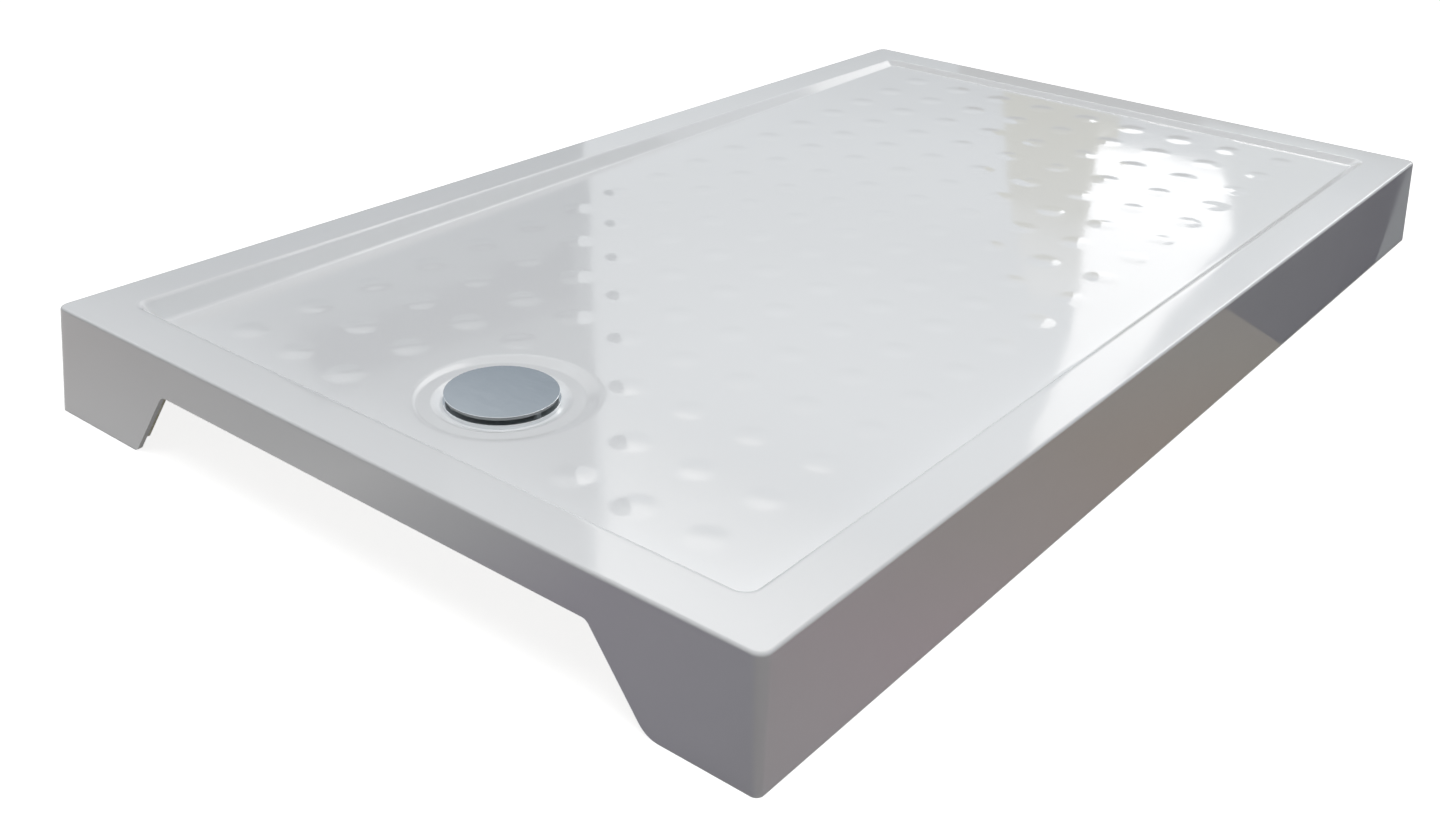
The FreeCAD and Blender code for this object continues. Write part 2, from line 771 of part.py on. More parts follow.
def make_pad(index, x, y):
    """Round pad with a hub that holds the rod's end, and six ribs."""
    name = "foot_pad_%d" % index
    body = new_body(name)
    bore = "rod_radius + rod_clearance"
    corners = (
        ("0", "0"),
        ("pad_radius - edge_break", "0"),
        ("pad_radius", "edge_break"),
        ("pad_radius", "pad_plate"),
        ("pad_hub_radius + edge_break", "pad_plate + pad_cone"),
        ("pad_hub_radius", "pad_hub_top"),
        (bore, "pad_hub_top"),
        (bore, "pad_floor"),
        ("0", "pad_floor"),
    )
    turned(body, name + "_turned", corners)
    ribs = new_sketch(body, name + "_rib_outline", "XZ_Plane")
    polygon(ribs, (
        ("pad_hub_radius - edge_break", "pad_plate - edge_break"),
        ("pad_radius - rib_inset", "pad_plate - edge_break"),
        ("pad_hub_radius", "pad_hub_top - 2 * edge_break"),
        ("pad_hub_radius - edge_break", "pad_hub_top - 2 * edge_break"),
    ))
    rib = extrude(body, "Pad", ribs, "pad_rib", name + "_rib")
    rib.Midplane = True
    repeat_round(body, rib, (ribs, "V_Axis"), FOOT_RIBS, name + "_ribs")
    node(name, put(body, x, y))


def fused(name, parts):
    group = DOC.addObject("Part::MultiFuse", name)
    group.Shapes = parts
    return group


def make_lock_nuts():
    """One hexagon nut under each bracket's boss."""
    nuts = []
    for index, (x, y) in enumerate(foot_places(), start=1):
        body = new_body("lock_nut_%d" % index)
        bottom = "(%s - bracket_plate - bracket_boss_drop - lock_nut_thickness)" % board_bottom(y)
        outline = new_sketch(body, "lock_nut_%d_outline" % index, lift=bottom)
        hexagon(outline, "lock_nut_width")
        circle(outline, "rod_radius + rod_clearance")
        extrude(body, "Pad", outline, "lock_nut_thickness", "lock_nut_%d_block" % index)
        nuts.append(put(body, x, y))
    node("lock_nuts", fused("lock_nut_group", nuts))


def make_screws():
    """Countersunk wood screws of the brackets, as one group of separate solids."""
    screws = []
    for foot, (x, y) in enumerate(foot_places(), start=1):
        head_level = "(%s - bracket_plate)" % board_bottom(y)
        for index, (screw_x, screw_y) in enumerate(screw_places(x, y), start=1):
            name = "screw_%d_%d" % (foot, index)
            body = new_body(name)
            corners = (
                ("0", head_level),
                ("screw_head_radius", head_level),
                ("screw_radius", head_level + " + screw_head_depth"),
                ("screw_radius", head_level + " + screw_length - screw_tip"),
                ("0", head_level + " + screw_length"),
            )
            turned(body, name + "_turned", corners)
            screws.append(put(body, screw_x, screw_y))
    return node("bracket_screws", fused("bracket_screw_group", screws))


# ---------------------------------------------------------------- the waste

def make_flange():
    """Chrome flange: bevelled rim, and the threaded throat with the ledge for the dip tube."""
    body = new_body("waste_flange")
    corners = (
        ("throat_ledge_radius", "throat_ledge_level - throat_ledge_thickness"),
        ("throat_bore_radius", "throat_ledge_level - 2 * throat_ledge_thickness"),
        ("throat_bore_radius", "throat_bottom_level"),
        ("throat_radius", "throat_bottom_level"),
        ("throat_radius", FLANGE_BOTTOM),
        ("flange_radius", FLANGE_BOTTOM),
        ("flange_radius", FLANGE_TOP + " - edge_break"),
        ("flange_radius - edge_break", FLANGE_TOP),
        ("throat_bore_radius + flange_bevel_run", FLANGE_TOP),
        ("throat_bore_radius", FLANGE_TOP + " - flange_bevel_depth"),
        ("throat_bore_radius", "throat_ledge_level"),
        ("throat_ledge_radius", "throat_ledge_level"),
    )
    turned(body, "flange_turned", corners)
    node("waste_flange", at_waste(body))


def ring(name, inner, outer, bottom, top):
    """A plain flat ring round the waste's axis."""
    body = new_body(name)
    turned(body, name + "_turned", ((inner, bottom), (outer, bottom), (outer, top), (inner, top)))
    node(name, at_waste(body))


def make_seals():
    outside = "flange_radius - flange_seal_inset"
    ring("flange_seal", "waste_hole_radius", outside, "inner_ring_level", FLANGE_BOTTOM)
    inside = "throat_radius + underside_seal_clearance"
    ring("underside_seal", inside, "underside_seal_radius", TRAP_TOP, WASTE_UNDERSIDE)


def make_cover():
    """Flat chrome cap with a rounded edge, hollow underneath."""
    body = new_body("waste_cover")
    inner = "(cover_radius - cover_skin)"
    corners = (
        ("0", "cover_top_level"),
        ("cover_radius", "cover_top_level"),
        ("cover_radius", COVER_BOTTOM),
        (inner, COVER_BOTTOM),
        (inner, "cover_top_level - cover_skin"),
        ("0", "cover_top_level - cover_skin"),
    )
    turned(body, "cover_turned", corners)
    top = number("cover_top_level")
    blend(body, "cover_edge_radius", lambda edge: near_level(edge, top, 0.01), "cover_edge")
    node("waste_cover", at_waste(body))


def make_carrier():
    """Plastic spider under the cap: a disc, three legs that stand on the flange, a finned stem."""
    body = new_body("cover_carrier")
    disc_top = "(cover_top_level - cover_skin)"
    outer = "(cover_radius - cover_skin - carrier_clearance)"
    turned(body, "carrier_disc", (
        ("0", COVER_BOTTOM),
        (outer, COVER_BOTTOM),
        (outer, disc_top),
        ("0", disc_top),
    ))
    leg = new_sketch(body, "carrier_leg_outline", lift=FLANGE_TOP)
    circle(leg, "carrier_leg_radius", across="flange_radius - carrier_leg_inset")
    leg_length = "%s - %s + carrier_root" % (COVER_BOTTOM, FLANGE_TOP)
    first_leg = extrude(body, "Pad", leg, leg_length, "carrier_leg")
    repeat_round(body, first_leg, (leg, "N_Axis"), CARRIER_LEGS, "carrier_legs")
    stem = new_sketch(body, "carrier_stem_outline", lift="%s + carrier_root" % COVER_BOTTOM)
    near, tip = "stem_half_fin", "(tube_bore_radius - collar_clearance)"
    cross = []
    for x, y, across, along in ((1, 1, tip, near), (1, -1, tip, near), (1, -1, near, near),
                                (1, -1, near, tip), (-1, -1, near, tip), (-1, -1, near, near),
                                (-1, -1, tip, near), (-1, 1, tip, near), (-1, 1, near, near),
                                (-1, 1, near, tip), (1, 1, near, tip), (1, 1, near, near)):
        cross.append(("%d * %s" % (x, across), "%d * %s" % (y, along)))
    polygon(stem, cross)
    stem_length = "cover_top_level - tube_collar_top + stem_reach"
    extrude(body, "Pad", stem, stem_length, "carrier_stem", reverse=True)
    node("cover_carrier", at_waste(body))


def make_dip_tube():
    """Dip tube: collar on the throat's ledge, groove for the O-ring, tube and four fins."""
    body = new_body("dip_tube")
    collar = "(throat_bore_radius - collar_clearance)"
    groove = "(throat_bore_radius - oring_clearance - 2 * oring_section)"
    groove_bottom = "(throat_ledge_level + groove_lip)"
    guide = "(throat_ledge_radius - tube_guide_clearance)"
    corners = (
        ("tube_bore_radius", "tube_bottom_level"),
        ("tube_radius", "tube_bottom_level"),
        ("tube_radius", "throat_ledge_level - tube_collar_cone"),
        (guide, "throat_ledge_level - tube_collar_cone / 2"),
        (guide, "throat_ledge_level"),
        (collar, "throat_ledge_level"),
        (collar, groove_bottom),
        (groove, groove_bottom),
        (groove, groove_bottom + " + 2 * oring_section"),
        (collar, groove_bottom + " + 2 * oring_section"),
        (collar, "tube_collar_top"),
        ("tube_bore_radius + tube_mouth_bevel", "tube_collar_top"),
        ("tube_bore_radius", "tube_collar_top - tube_mouth_bevel"),
    )
    turned(body, "dip_tube_turned", corners)
    fin = new_sketch(body, "dip_tube_fin_outline", "XZ_Plane")
    cup_inside = "(cup_radius - cup_wall)"
    polygon(fin, (
        ("tube_radius - edge_break", "tube_bottom_level + tube_fin_lift"),
        (cup_inside, "tube_bottom_level + tube_fin_lift"),
        (cup_inside, "cup_rim_level"),
        ("tube_radius - edge_break", "cup_rim_level + tube_fin_taper"),
    ))
    first_fin = extrude(body, "Pad", fin, "tube_fin_thickness", "dip_tube_fin")
    first_fin.Midplane = True
    repeat_round(body, first_fin, (fin, "V_Axis"), TUBE_FINS, "dip_tube_fins")
    node("dip_tube", at_waste(body))

    oring = DOC.addObject("Part::Torus", "dip_tube_oring")
    oring.setExpression("Radius1", bound("throat_bore_radius - oring_clearance - oring_section"))
    oring.setExpression("Radius2", bound("oring_section"))
    node("dip_tube_oring", put(oring, y="-waste_offset", z=groove_bottom + " + oring_section"))


def make_siphon_cup():
    """The cup that keeps the water of the seal."""
    body = new_body("siphon_cup")
    inside = "(cup_radius - cup_wall)"
    corners = (
        ("0", "cup_bottom_level"),
        ("cup_radius - cup_bevel", "cup_bottom_level"),
        ("cup_radius", "cup_bottom_level + cup_bevel"),
        ("cup_radius", "cup_rim_level"),
        (inside, "cup_rim_level"),
        (inside, "cup_bottom_level + cup_wall + cup_inner_bevel"),
        (inside + " - cup_inner_bevel", "cup_bottom_level + cup_wall"),
        ("0", "cup_bottom_level + cup_wall"),
    )
    turned(body, "siphon_cup_turned", corners)
    node("siphon_cup", at_waste(body))


def make_trap_pot():
    """Trap pot, open at the top, with a boss on its side into which the outlet is welded."""
    body = new_body("trap_body")
    chamber = "(trap_radius - trap_wall)"
    turned(body, "trap_outer", (
        ("0", "trap_bottom_level"),
        ("trap_radius - trap_bevel", "trap_bottom_level"),
        ("trap_radius", "trap_bottom_level + trap_bevel"),
        ("trap_radius", TRAP_RIM),
        ("0", TRAP_RIM),
    ))
    boss = new_sketch(body, "outlet_boss_outline", "XZ_Plane")
    circle(boss, "outlet_boss_radius", up="outlet_axis_level")
    extrude(body, "Pad", boss, "outlet_boss_reach", "outlet_boss")
    turned(body, "trap_chamber", (
        ("0", "trap_bottom_level + trap_wall"),
        (chamber + " - trap_inner_bevel", "trap_bottom_level + trap_wall"),
        (chamber, "trap_bottom_level + trap_wall + trap_inner_bevel"),
        (chamber, TRAP_RIM + " + cutter_overrun"),
        ("0", TRAP_RIM + " + cutter_overrun"),
    ), kind="Groove")
    bore = new_sketch(body, "outlet_boss_bore_outline", "XZ_Plane", lift="outlet_bore_start")
    circle(bore, "outlet_insert_radius", up="outlet_axis_level")
    extrude(body, "Pocket", bore, "outlet_boss_reach", "outlet_boss_bore", reverse=True)
    node("trap_body", at_waste(body))


def make_trap_top():
    """Lid of the pot, with the neck that is screwed on the flange's throat."""
    body = new_body("trap_top")
    neck = "(underside_seal_radius + trap_neck_land)"
    bore = "(throat_radius + thread_clearance)"
    turned(body, "trap_top_turned", (
        (bore, TRAP_RIM),
        ("trap_radius", TRAP_RIM),
        ("trap_radius", "trap_shoulder_level - edge_break"),
        ("trap_radius - edge_break", "trap_shoulder_level"),
        (neck, "trap_shoulder_level"),
        (neck, TRAP_TOP),
        (bore, TRAP_TOP),
    ))
    node("trap_top", at_waste(body))


def make_trap_outlet():
    """Outlet: an insert in the pot's boss, and a threaded socket for the waste pipe."""
    body = new_body("trap_outlet")
    socket_end = "(outlet_socket_depth - outlet_reach)"
    corners = (
        ("outlet_bore_radius", "-outlet_insert_reach"),
        ("outlet_insert_radius", "-outlet_insert_reach"),
        ("outlet_insert_radius", "-outlet_boss_reach"),
        ("outlet_thread_radius", "-outlet_boss_reach"),
        ("outlet_thread_radius", "-outlet_reach"),
        ("outlet_socket_radius", "-outlet_reach"),
        ("outlet_socket_radius", socket_end),
        ("outlet_bore_radius", socket_end),
    )
    sketch = new_sketch(body, "trap_outlet_outline", "XY_Plane")
    polygon(sketch, corners)
    spin(body, "Revolution", sketch, "trap_outlet_turned")
    node("trap_outlet", put(body, y="-waste_offset", z="outlet_axis_level"))


def make_outlet_nut():
    """Union nut: ribbed ring with a lip that presses the cone seal on the pipe."""
    body = new_body("outlet_nut")
    nut = new_sketch(body, "nut_outline", "XZ_Plane")
    circle(nut, "nut_radius - nut_grip_radius", up="outlet_axis_level")
    circle(nut, "nut_lip_bore_radius", up="outlet_axis_level")
    extrude(body, "Pad", nut, "nut_length", "nut_ring")
    grip = new_sketch(body, "nut_grip_outline", "XZ_Plane")
    circle(grip, "nut_grip_radius", across="nut_radius - nut_grip_radius", up="outlet_axis_level")
    lug = extrude(body, "Pad", grip, "nut_length - nut_lip", "nut_grip")
    axis = new_sketch(body, "nut_axis", "XZ_Plane")
    axis.setExpression("AttachmentOffset.Base.y", bound("outlet_axis_level"))
    repeat_round(body, lug, (axis, "N_Axis"), NUT_GRIPS, "nut_grips")
    thread = new_sketch(body, "nut_thread_outline", "XZ_Plane")
    circle(thread, "outlet_thread_radius", up="outlet_axis_level")
    extrude(body, "Pocket", thread, "nut_length - nut_lip", "nut_thread", reverse=True)
    node("outlet_nut", put(body, y="nut_length - waste_offset - outlet_reach - nut_overhang"))


def make_outlet_seal():
    """Cone seal between the socket's end and the nut's lip, close round the pipe."""
    body = new_body("outlet_seal")
    outside = "outlet_thread_radius - seal_clearance"
    sketch = new_sketch(body, "outlet_seal_outline", "XY_Plane")
    polygon(sketch, (
        ("outlet_socket_radius", "-outlet_reach"),
        (outside, "-outlet_reach"),
        (outside, "-outlet_reach - seal_land"),
        ("outlet_socket_radius + seal_nose", "-outlet_reach - seal_depth"),
        ("outlet_socket_radius", "-outlet_reach - seal_depth"),
    ))
    spin(body, "Revolution", sketch, "outlet_seal_turned")
    node("outlet_seal", put(body, y="-waste_offset", z="outlet_axis_level"))


# ---------------------------------------------------------------- build and write

def check(objects):
    """Stop if any object failed or any sub-part is not a valid solid."""
    for item in objects:
        if "Invalid" in item.State or "Error" in item.State:
            raise RuntimeError("%s failed: %s" % (item.Label, item.State))
    for name, part in NODES.items():
        shape = part.Shape
        if shape.isNull() or not shape.isValid() or not shape.Solids:
            raise RuntimeError("%s has no valid solid" % name)


def write_parts():
    os.makedirs("parts", exist_ok=True)
    for name, part in sorted(NODES.items()):
        part.Shape.exportStep("parts/%s.step" % name)


make_mouldings()
wood_screws = make_screws()
make_board(wood_screws)
above_board_underside = space_above_board_underside()
for foot_index, (foot_x, foot_y) in enumerate(foot_places(), start=1):
    make_bracket(foot_index, foot_x, foot_y, above_board_underside, wood_screws)
    make_rod(foot_index, foot_x, foot_y)
    make_pad(foot_index, foot_x, foot_y)
make_lock_nuts()
make_flange()
make_seals()
make_cover()
make_carrier()
make_dip_tube()
make_siphon_cup()
make_trap_pot()
make_trap_top()
make_trap_outlet()
make_outlet_nut()
make_outlet_seal()

DOC.recompute()
check(DOC.Objects)
write_parts()
print("%d sub-parts" % len(NODES))
for name, part in sorted(NODES.items()):
    print("%-18s %10.0f mm3  %d solids" % (name, part.Shape.Volume, len(part.Shape.Solids)))
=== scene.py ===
"""Looks of the shower tray: glossy acrylic moulding, chrome waste, and the hidden fittings.

X runs across the tray, Y along it, Z up; the waste and the pipe cut-out are at the -Y end.
The tray's sizes are in millimetres, and MM turns them into metres. The studio's are in metres.
"""

import json
import math

import bmesh
import bpy
import numpy as np
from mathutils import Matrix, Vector


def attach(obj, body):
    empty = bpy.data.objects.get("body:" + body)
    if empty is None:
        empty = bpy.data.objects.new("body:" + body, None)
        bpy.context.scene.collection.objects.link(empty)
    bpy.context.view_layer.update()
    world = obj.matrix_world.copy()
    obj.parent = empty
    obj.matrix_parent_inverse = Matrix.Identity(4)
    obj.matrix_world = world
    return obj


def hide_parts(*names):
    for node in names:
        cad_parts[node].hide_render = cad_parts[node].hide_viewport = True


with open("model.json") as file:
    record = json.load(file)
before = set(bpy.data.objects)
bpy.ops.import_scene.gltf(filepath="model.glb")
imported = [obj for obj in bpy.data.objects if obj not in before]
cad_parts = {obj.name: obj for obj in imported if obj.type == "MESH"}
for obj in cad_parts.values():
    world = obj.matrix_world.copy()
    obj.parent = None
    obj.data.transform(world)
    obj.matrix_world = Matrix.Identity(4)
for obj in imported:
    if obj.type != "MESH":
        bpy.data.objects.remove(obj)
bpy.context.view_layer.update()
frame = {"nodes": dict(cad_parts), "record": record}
NODES = frame["nodes"]
MM = 0.001

# ---------------------------------------------------------------- sizes of the real tray

HALF_WIDTH, HALF_LENGTH, HEIGHT = 350, 600, 91.5
SKIRT_FLARE = 7
CORNER_RADII = (5.5, 9)         # of the skirt's upright edges, at the ground and at the rim
RIM_EDGE_RADIUS = 2.4
SHELL = 4
RIM_WIDTH = 42
WALL_RUN = 10
WALL_CORNERS = (12, 5)          # plan radii at the top and at the foot of the basin's wall
WALL_ROUNDINGS = (5, 5)         # roll from rim to wall, and cove from wall to floor
FLOOR_DEPTH_FAR, FLOOR_DEPTH_WASTE = 5, 18

DOME_PITCH = (58.5, 63)
DOME_COUNT = (4, 8)             # domes on each side of the middle one, across and along
DOME_RADIUS, DOME_RISE = 16, 0.5
DOME_CLEARANCE = 89.5           # from the waste's axis to the nearest dome centres

WASTE_Y = -454
HOLE_RADIUS = 30
INNER_RING_LEVEL, OUTER_RING_LEVEL = 71, 73.2
RECESS_PROFILE = (
    (HOLE_RADIUS, INNER_RING_LEVEL), (46, INNER_RING_LEVEL),
    (52, OUTER_RING_LEVEL), (62.5, OUTER_RING_LEVEL), (76, 75.8),
)
RECESS_UNDERSIDE = (
    (HOLE_RADIUS, INNER_RING_LEVEL - SHELL), (46.4, INNER_RING_LEVEL - SHELL),
    (52.4, OUTER_RING_LEVEL - SHELL), (61, OUTER_RING_LEVEL - SHELL),
)
RECESS_ROUNDING = 3
RECESS_BLEND = 0.5              # height within which the floor and the recess run into each other

CUTOUT_TOP = 58.5
CUTOUT_OUTLINE = (
    (-257, -10), (-257, 0), (-250, 0), (-211, CUTOUT_TOP),
    (222, CUTOUT_TOP), (274, 0), (296, 0), (296, -10),
)
CUTOUT_ROUNDINGS = (0, 7, 8, 8, 22, 0)
CUTOUT_REACH = (-620, -560)

# Outlines of the turned chrome pieces: (radius, level), with a radius for each inner corner.
COVER_TOP, COVER_BOTTOM = 80.2, 79.1
COVER_OUTLINE = ((0, COVER_TOP), (43, COVER_TOP), (42, COVER_BOTTOM), (0, COVER_BOTTOM))
COVER_ROUNDINGS = (0.2, 0.3)
FLANGE_OUTLINE = (
    (24.2, 63), (26, 61), (26, 47), (28, 47), (28, 71.8), (42.6, 71.8), (42.6, 71.05),
    (43.6, 71.05), (43.6, 74.2), (29, 74.2), (26, 72.2), (26, 65), (24.2, 65),
)
FLANGE_ROUNDINGS = (0, 0, 0, 0, 0, 0, 0.1, 0.15, 1, 0.5, 0)

FLARE_SLOPE = SKIRT_FLARE / HEIGHT
BASIN_HALF_X = HALF_WIDTH - RIM_WIDTH - WALL_RUN
BASIN_HALF_Y = HALF_LENGTH - RIM_WIDTH - WALL_RUN
FLOOR_FALL = (FLOOR_DEPTH_WASTE - FLOOR_DEPTH_FAR) / (2 * BASIN_HALF_Y)
FLOOR_MID = HEIGHT - (FLOOR_DEPTH_WASTE + FLOOR_DEPTH_FAR) / 2

# ---------------------------------------------------------------- how finely the meshes are divided

CELLS_PER_DOME = (20, 21)       # across and along, so that each dome is cut in the same way
CELL = (DOME_PITCH[0] / CELLS_PER_DOME[0], DOME_PITCH[1] / CELLS_PER_DOME[1])
CELLS = (200, 360)
UNDERSIDE_CELLS = (10, 18)
CORNER_STEPS = 7
SKIRT_LEVELS = (0, 1, 22, 44, 66, 84)
EDGE_LEAD = 0.8                 # from the last ring of the skirt to its rounded edge
EDGE_RINGS = 8
WALL_LEAD, WALL_TAIL = 6, 4.5   # strips of rim and floor that belong to the wall's rings
WALL_ARC_STEPS = 7
RECESS_ARC_STEPS = 10
CUTOUT_ARC_STEPS = 10
COVER_ARC_STEPS = 8
FLANGE_ARC_STEPS = 5
TURNED_SEGMENTS = 256

# The patch round the waste, whose rings grow round towards the hole.
PATCH_HALF_COLUMNS = 28
PATCH_ROWS = (-178, -124)       # first and last, counted from the middle of the floor
PATCH_STEPS = 12
RECESS_END = 74                 # radius within which the patch's rings are round
RING_SPACING = 1
FINE_RINGS_END = 43
FLAT_RING_RADII = (40, 36, 33, HOLE_RADIUS)

UNDERSIDE_SET_OUT = 0.45 * SHELL    # of the wall's underside, so that the sheet keeps its thickness
GROUND_BAND = 0.2               # faces lower than this lie on the ground
CUTOUT_SPAN = 300               # all of the cut-out is nearer to the middle than this
SAWN_MARGIN = 1.5               # how far above the cut-out and inside the skirt sawn faces are looked for
TRAY_CREASE, CHROME_CREASE = 35, 50     # degrees above which an edge stays sharp
NORMAL_WEIGHT = 100             # larger faces lead in the smoothing

# ---------------------------------------------------------------- the studio's sizes, in metres

AMBIENT = 0.13
FLOOR_HALF = 9
FLOOR_SHADOW_CATCH = (0.55, 0.55, 0.55)
FLOOR_GLOW = 0.86
FLOOR_PALER = (1.5, 5)          # distances between which the floor grows to plain white
FLOOR_BOUNCE = (0.24, 0.23, 0.23)

LAMP_PLACE, LAMP_TARGET = (0.40, -0.44, 2.6), (0.1, -0.1, 0)
LAMP_SIDE = 2.0
LAMP_POWER = 49.5

CAMERA_PLACE = (0.72525, -1.13830, 0.57842)
CAMERA_TURN = (62.6006, -1.9802, 38.3863)       # degrees
SENSOR_WIDTH, LENS = 36, 37.424                 # millimetres
VIEW_DEPTH = 100

ROOM_RADIUS, ROOM_TOP = 8.8, 11
ROOM_SIDES = 96
ROOM_TINT = (0.95, 1.0, 1.04)
ROOM_LEVELS = (                 # degrees above the horizon, and brightness there
    (12, 0.78), (15, 0.94), (18, 1.22), (22, 1.24), (26, 1.38),
    (30, 1.6), (36, 1.7), (44, 1.2), (52, 1.0),
)

# Cards beyond the tray's far end, one layer behind another: places along Y, and corners as (x, z).
WINDOW_LAYER, SHELF_LAYER, CURTAIN_LAYER, LOW_LAYER, WALL_LAYER = 2.98, 2.99, 3.0, 3.01, 3.02
WINDOW = (
    (-1.05, 0.95), (-0.67, 0.95), (-0.60, 1.12), (-0.72, 1.34),
    (-0.98, 1.98), (-1.12, 1.98), (-1.05, 1.6),
)
HIGH_WINDOW = ((-3.1, 2.6), (-1.4, 2.6), (-1.4, 4.8), (-3.1, 4.8))
CURTAIN = ((-1.40, 0.86), (-1.0, 0.86), (-1.0, 1.52), (-1.22, 1.50), (-1.31, 1.27))
STRIP = ((-0.80, 1.62), (-0.34, 1.05), (-0.16, 0.85), (0.40, 0.80), (0.40, 2.1), (-0.80, 2.1))
RIGHT_WALL = ((1.0, 0.3), (8, 0.3), (8, 6.5), (1.0, 6.5))
BEYOND_WINDOW = ((-0.76, 0.78), (-0.30, 0.78), (-0.50, 1.10), (-0.60, 1.12), (-0.68, 0.96))
LOW_WALL = ((-1.55, 0.2), (-0.62, 0.2), (-0.62, 0.845), (-1.55, 0.845))
LOW_WALL_RIGHT = ((-0.62, 0.2), (-0.1, 0.2), (-0.1, 0.78), (-0.62, 0.78))
SIDE_WALL = ((-4.1, 0.3), (-4.1, 4.5), (-8, 5.2), (-8, 0.3))
SIDE_WALL_END = ((-3.17, 0.3), (-3.17, 4.4), (-4.1, 4.5), (-4.1, 0.3))
SHELF = ((-3.24, 1.86), (-3.24, 2.12), (-4.97, 3.12), (-5.29, 2.94))
SKYLIGHT = ((-0.3, 1.4), (0.2, 1.4), (0.2, 2.1), (-0.3, 2.1))      # corners as (x, y)
SKYLIGHT_LEVEL = 3.0

# Cards on the ground, from half a millimetre outside the skirts: corners as (x, y).
GROUND_GAP = 0.5 * MM
GROUND_EDGE_X = (HALF_WIDTH + SKIRT_FLARE) * MM + GROUND_GAP
GROUND_EDGE_Y = (HALF_LENGTH + SKIRT_FLARE) * MM + GROUND_GAP
GROUND_NEAR_X, GROUND_NEAR_Y = 0.75, 1.0
GROUND_FRONT_END = -1.2
GROUND_FAR = 4
GROUND_LEVEL = 0.0004
DARK_SIDE = ((GROUND_EDGE_X, 0.218), (0.45, 0.307), (0.7, 0.6), (0.7, 1.2), (GROUND_EDGE_X, 1.2))
PATCH_IN_DARK = ((GROUND_EDGE_X, 0.505), (0.4385, 0.91), (0.497, 1.2), (GROUND_EDGE_X, 1.2))

# Glows of the cards: (share of the card's span, colour).
WHITE = ((0, (1, 1, 1)),)
CURTAIN_GLOW = ((0, (0.80, 0.78, 0.61)), (0.6, (0.82, 0.80, 0.64)), (1, (1.45, 1.47, 1.45)))
HIGH_WINDOW_GLOW = ((0, (0.48, 0.50, 0.51)), (1, (1, 1, 1)))
SIDE_WALL_SPAN = (1.2, 4.4)
SIDE_WALL_GLOW = (
    (0, (0.38, 0.42, 0.46)), (0.4, (0.39, 0.44, 0.49)), (0.53, (0.50, 0.55, 0.60)),
    (0.63, (0.80, 0.85, 0.90)), (0.75, (1.05, 1.1, 1.15)), (1, (1.15, 1.2, 1.25)),
)
SIDE_WALL_END_GLOW = (
    (0, (0.38, 0.42, 0.46)), (0.4, (0.39, 0.44, 0.49)), (0.53, (0.54, 0.59, 0.64)),
    (0.63, (0.96, 1.01, 1.06)), (0.75, (1.4, 1.45, 1.5)), (1, (1.52, 1.6, 1.66)),
)
GROUND_FRONT_GLOW = (
    (0, (0.72, 0.69, 0.68)), (0.30, (0.86, 0.86, 0.86)), (0.42, (1, 1, 1)), (0.56, (0.65, 0.65, 0.68)),
    (0.70, (0.33, 0.28, 0.40)), (0.88, (0.28, 0.25, 0.36)), (1, (0.19, 0.16, 0.24)),
)
GROUND_RIGHT_GLOW = (
    (0, (0.82, 0.66, 0.71)), (0.20, (0.78, 0.50, 0.56)), (0.40, (0.60, 0.42, 0.36)),
    (0.62, (0.50, 0.34, 0.22)), (0.92, (0.40, 0.34, 0.26)), (1, (0.38, 0.32, 0.26)),
)


# ---------------------------------------------------------------- outlines

def rounded_path(corners, radii, steps):
    """An open outline through corners, each inner corner rounded by an arc of its own radius."""
    path = [tuple(corners[0])]
    for before, corner, after, radius in zip(corners, corners[1:], corners[2:], radii):
        if not radius:
            path.append(tuple(corner))
            continue
        corner = np.array(corner, float)
        to_before = np.array(before, float) - corner
        to_after = np.array(after, float) - corner
        to_before /= np.linalg.norm(to_before)
        to_after /= np.linalg.norm(to_after)
        half = math.acos(max(-1, min(1, to_before @ to_after))) / 2
        middle = to_before + to_after
        centre = corner + middle / np.linalg.norm(middle) * radius / math.sin(half)
        begin = corner + to_before * radius / math.tan(half) - centre
        end = corner + to_after * radius / math.tan(half) - centre
        turn = math.pi - 2 * half
        for k in range(steps + 1):
            share = k / steps
            arm = (math.sin((1 - share) * turn) * begin + math.sin(share * turn) * end) / math.sin(turn)
            path.append(tuple(centre + arm))
    path.append(tuple(corners[-1]))
    return path


def side_places(cells):
    """Places of the points along the straight sides, from -1 to 1: those across and those along."""
    return [np.linspace(-1, 1, count + 1) for count in cells]


def ring_plan(half_x, half_y, corner, places):
    """Rounded rectangle, anticlockwise from the left end of its -Y side, as an array of (x, y)."""
    across, along = places
    sx, sy = half_x - corner, half_y - corner
    sides = (
        np.stack([across * sx, np.full(len(across), -half_y)], 1),
        np.stack([np.full(len(along), half_x), along * sy], 1),
        np.stack([-across * sx, np.full(len(across), half_y)], 1),
        np.stack([np.full(len(along), -half_x), -along * sy], 1),
    )
    centres = ((sx, -sy), (sx, sy), (-sx, sy), (-sx, -sy))
    parts = []
    for k, (side, centre) in enumerate(zip(sides, centres)):
        angles = math.radians(90 * k - 90) + np.linspace(0, math.pi / 2, CORNER_STEPS + 2)[1:-1]
        parts.append(side)
        parts.append(np.array(centre) + corner * np.stack([np.cos(angles), np.sin(angles)], 1))
    return np.concatenate(parts)


# ---------------------------------------------------------------- heights of the basin's floor

def floor_level(y):
    return FLOOR_MID + y * FLOOR_FALL


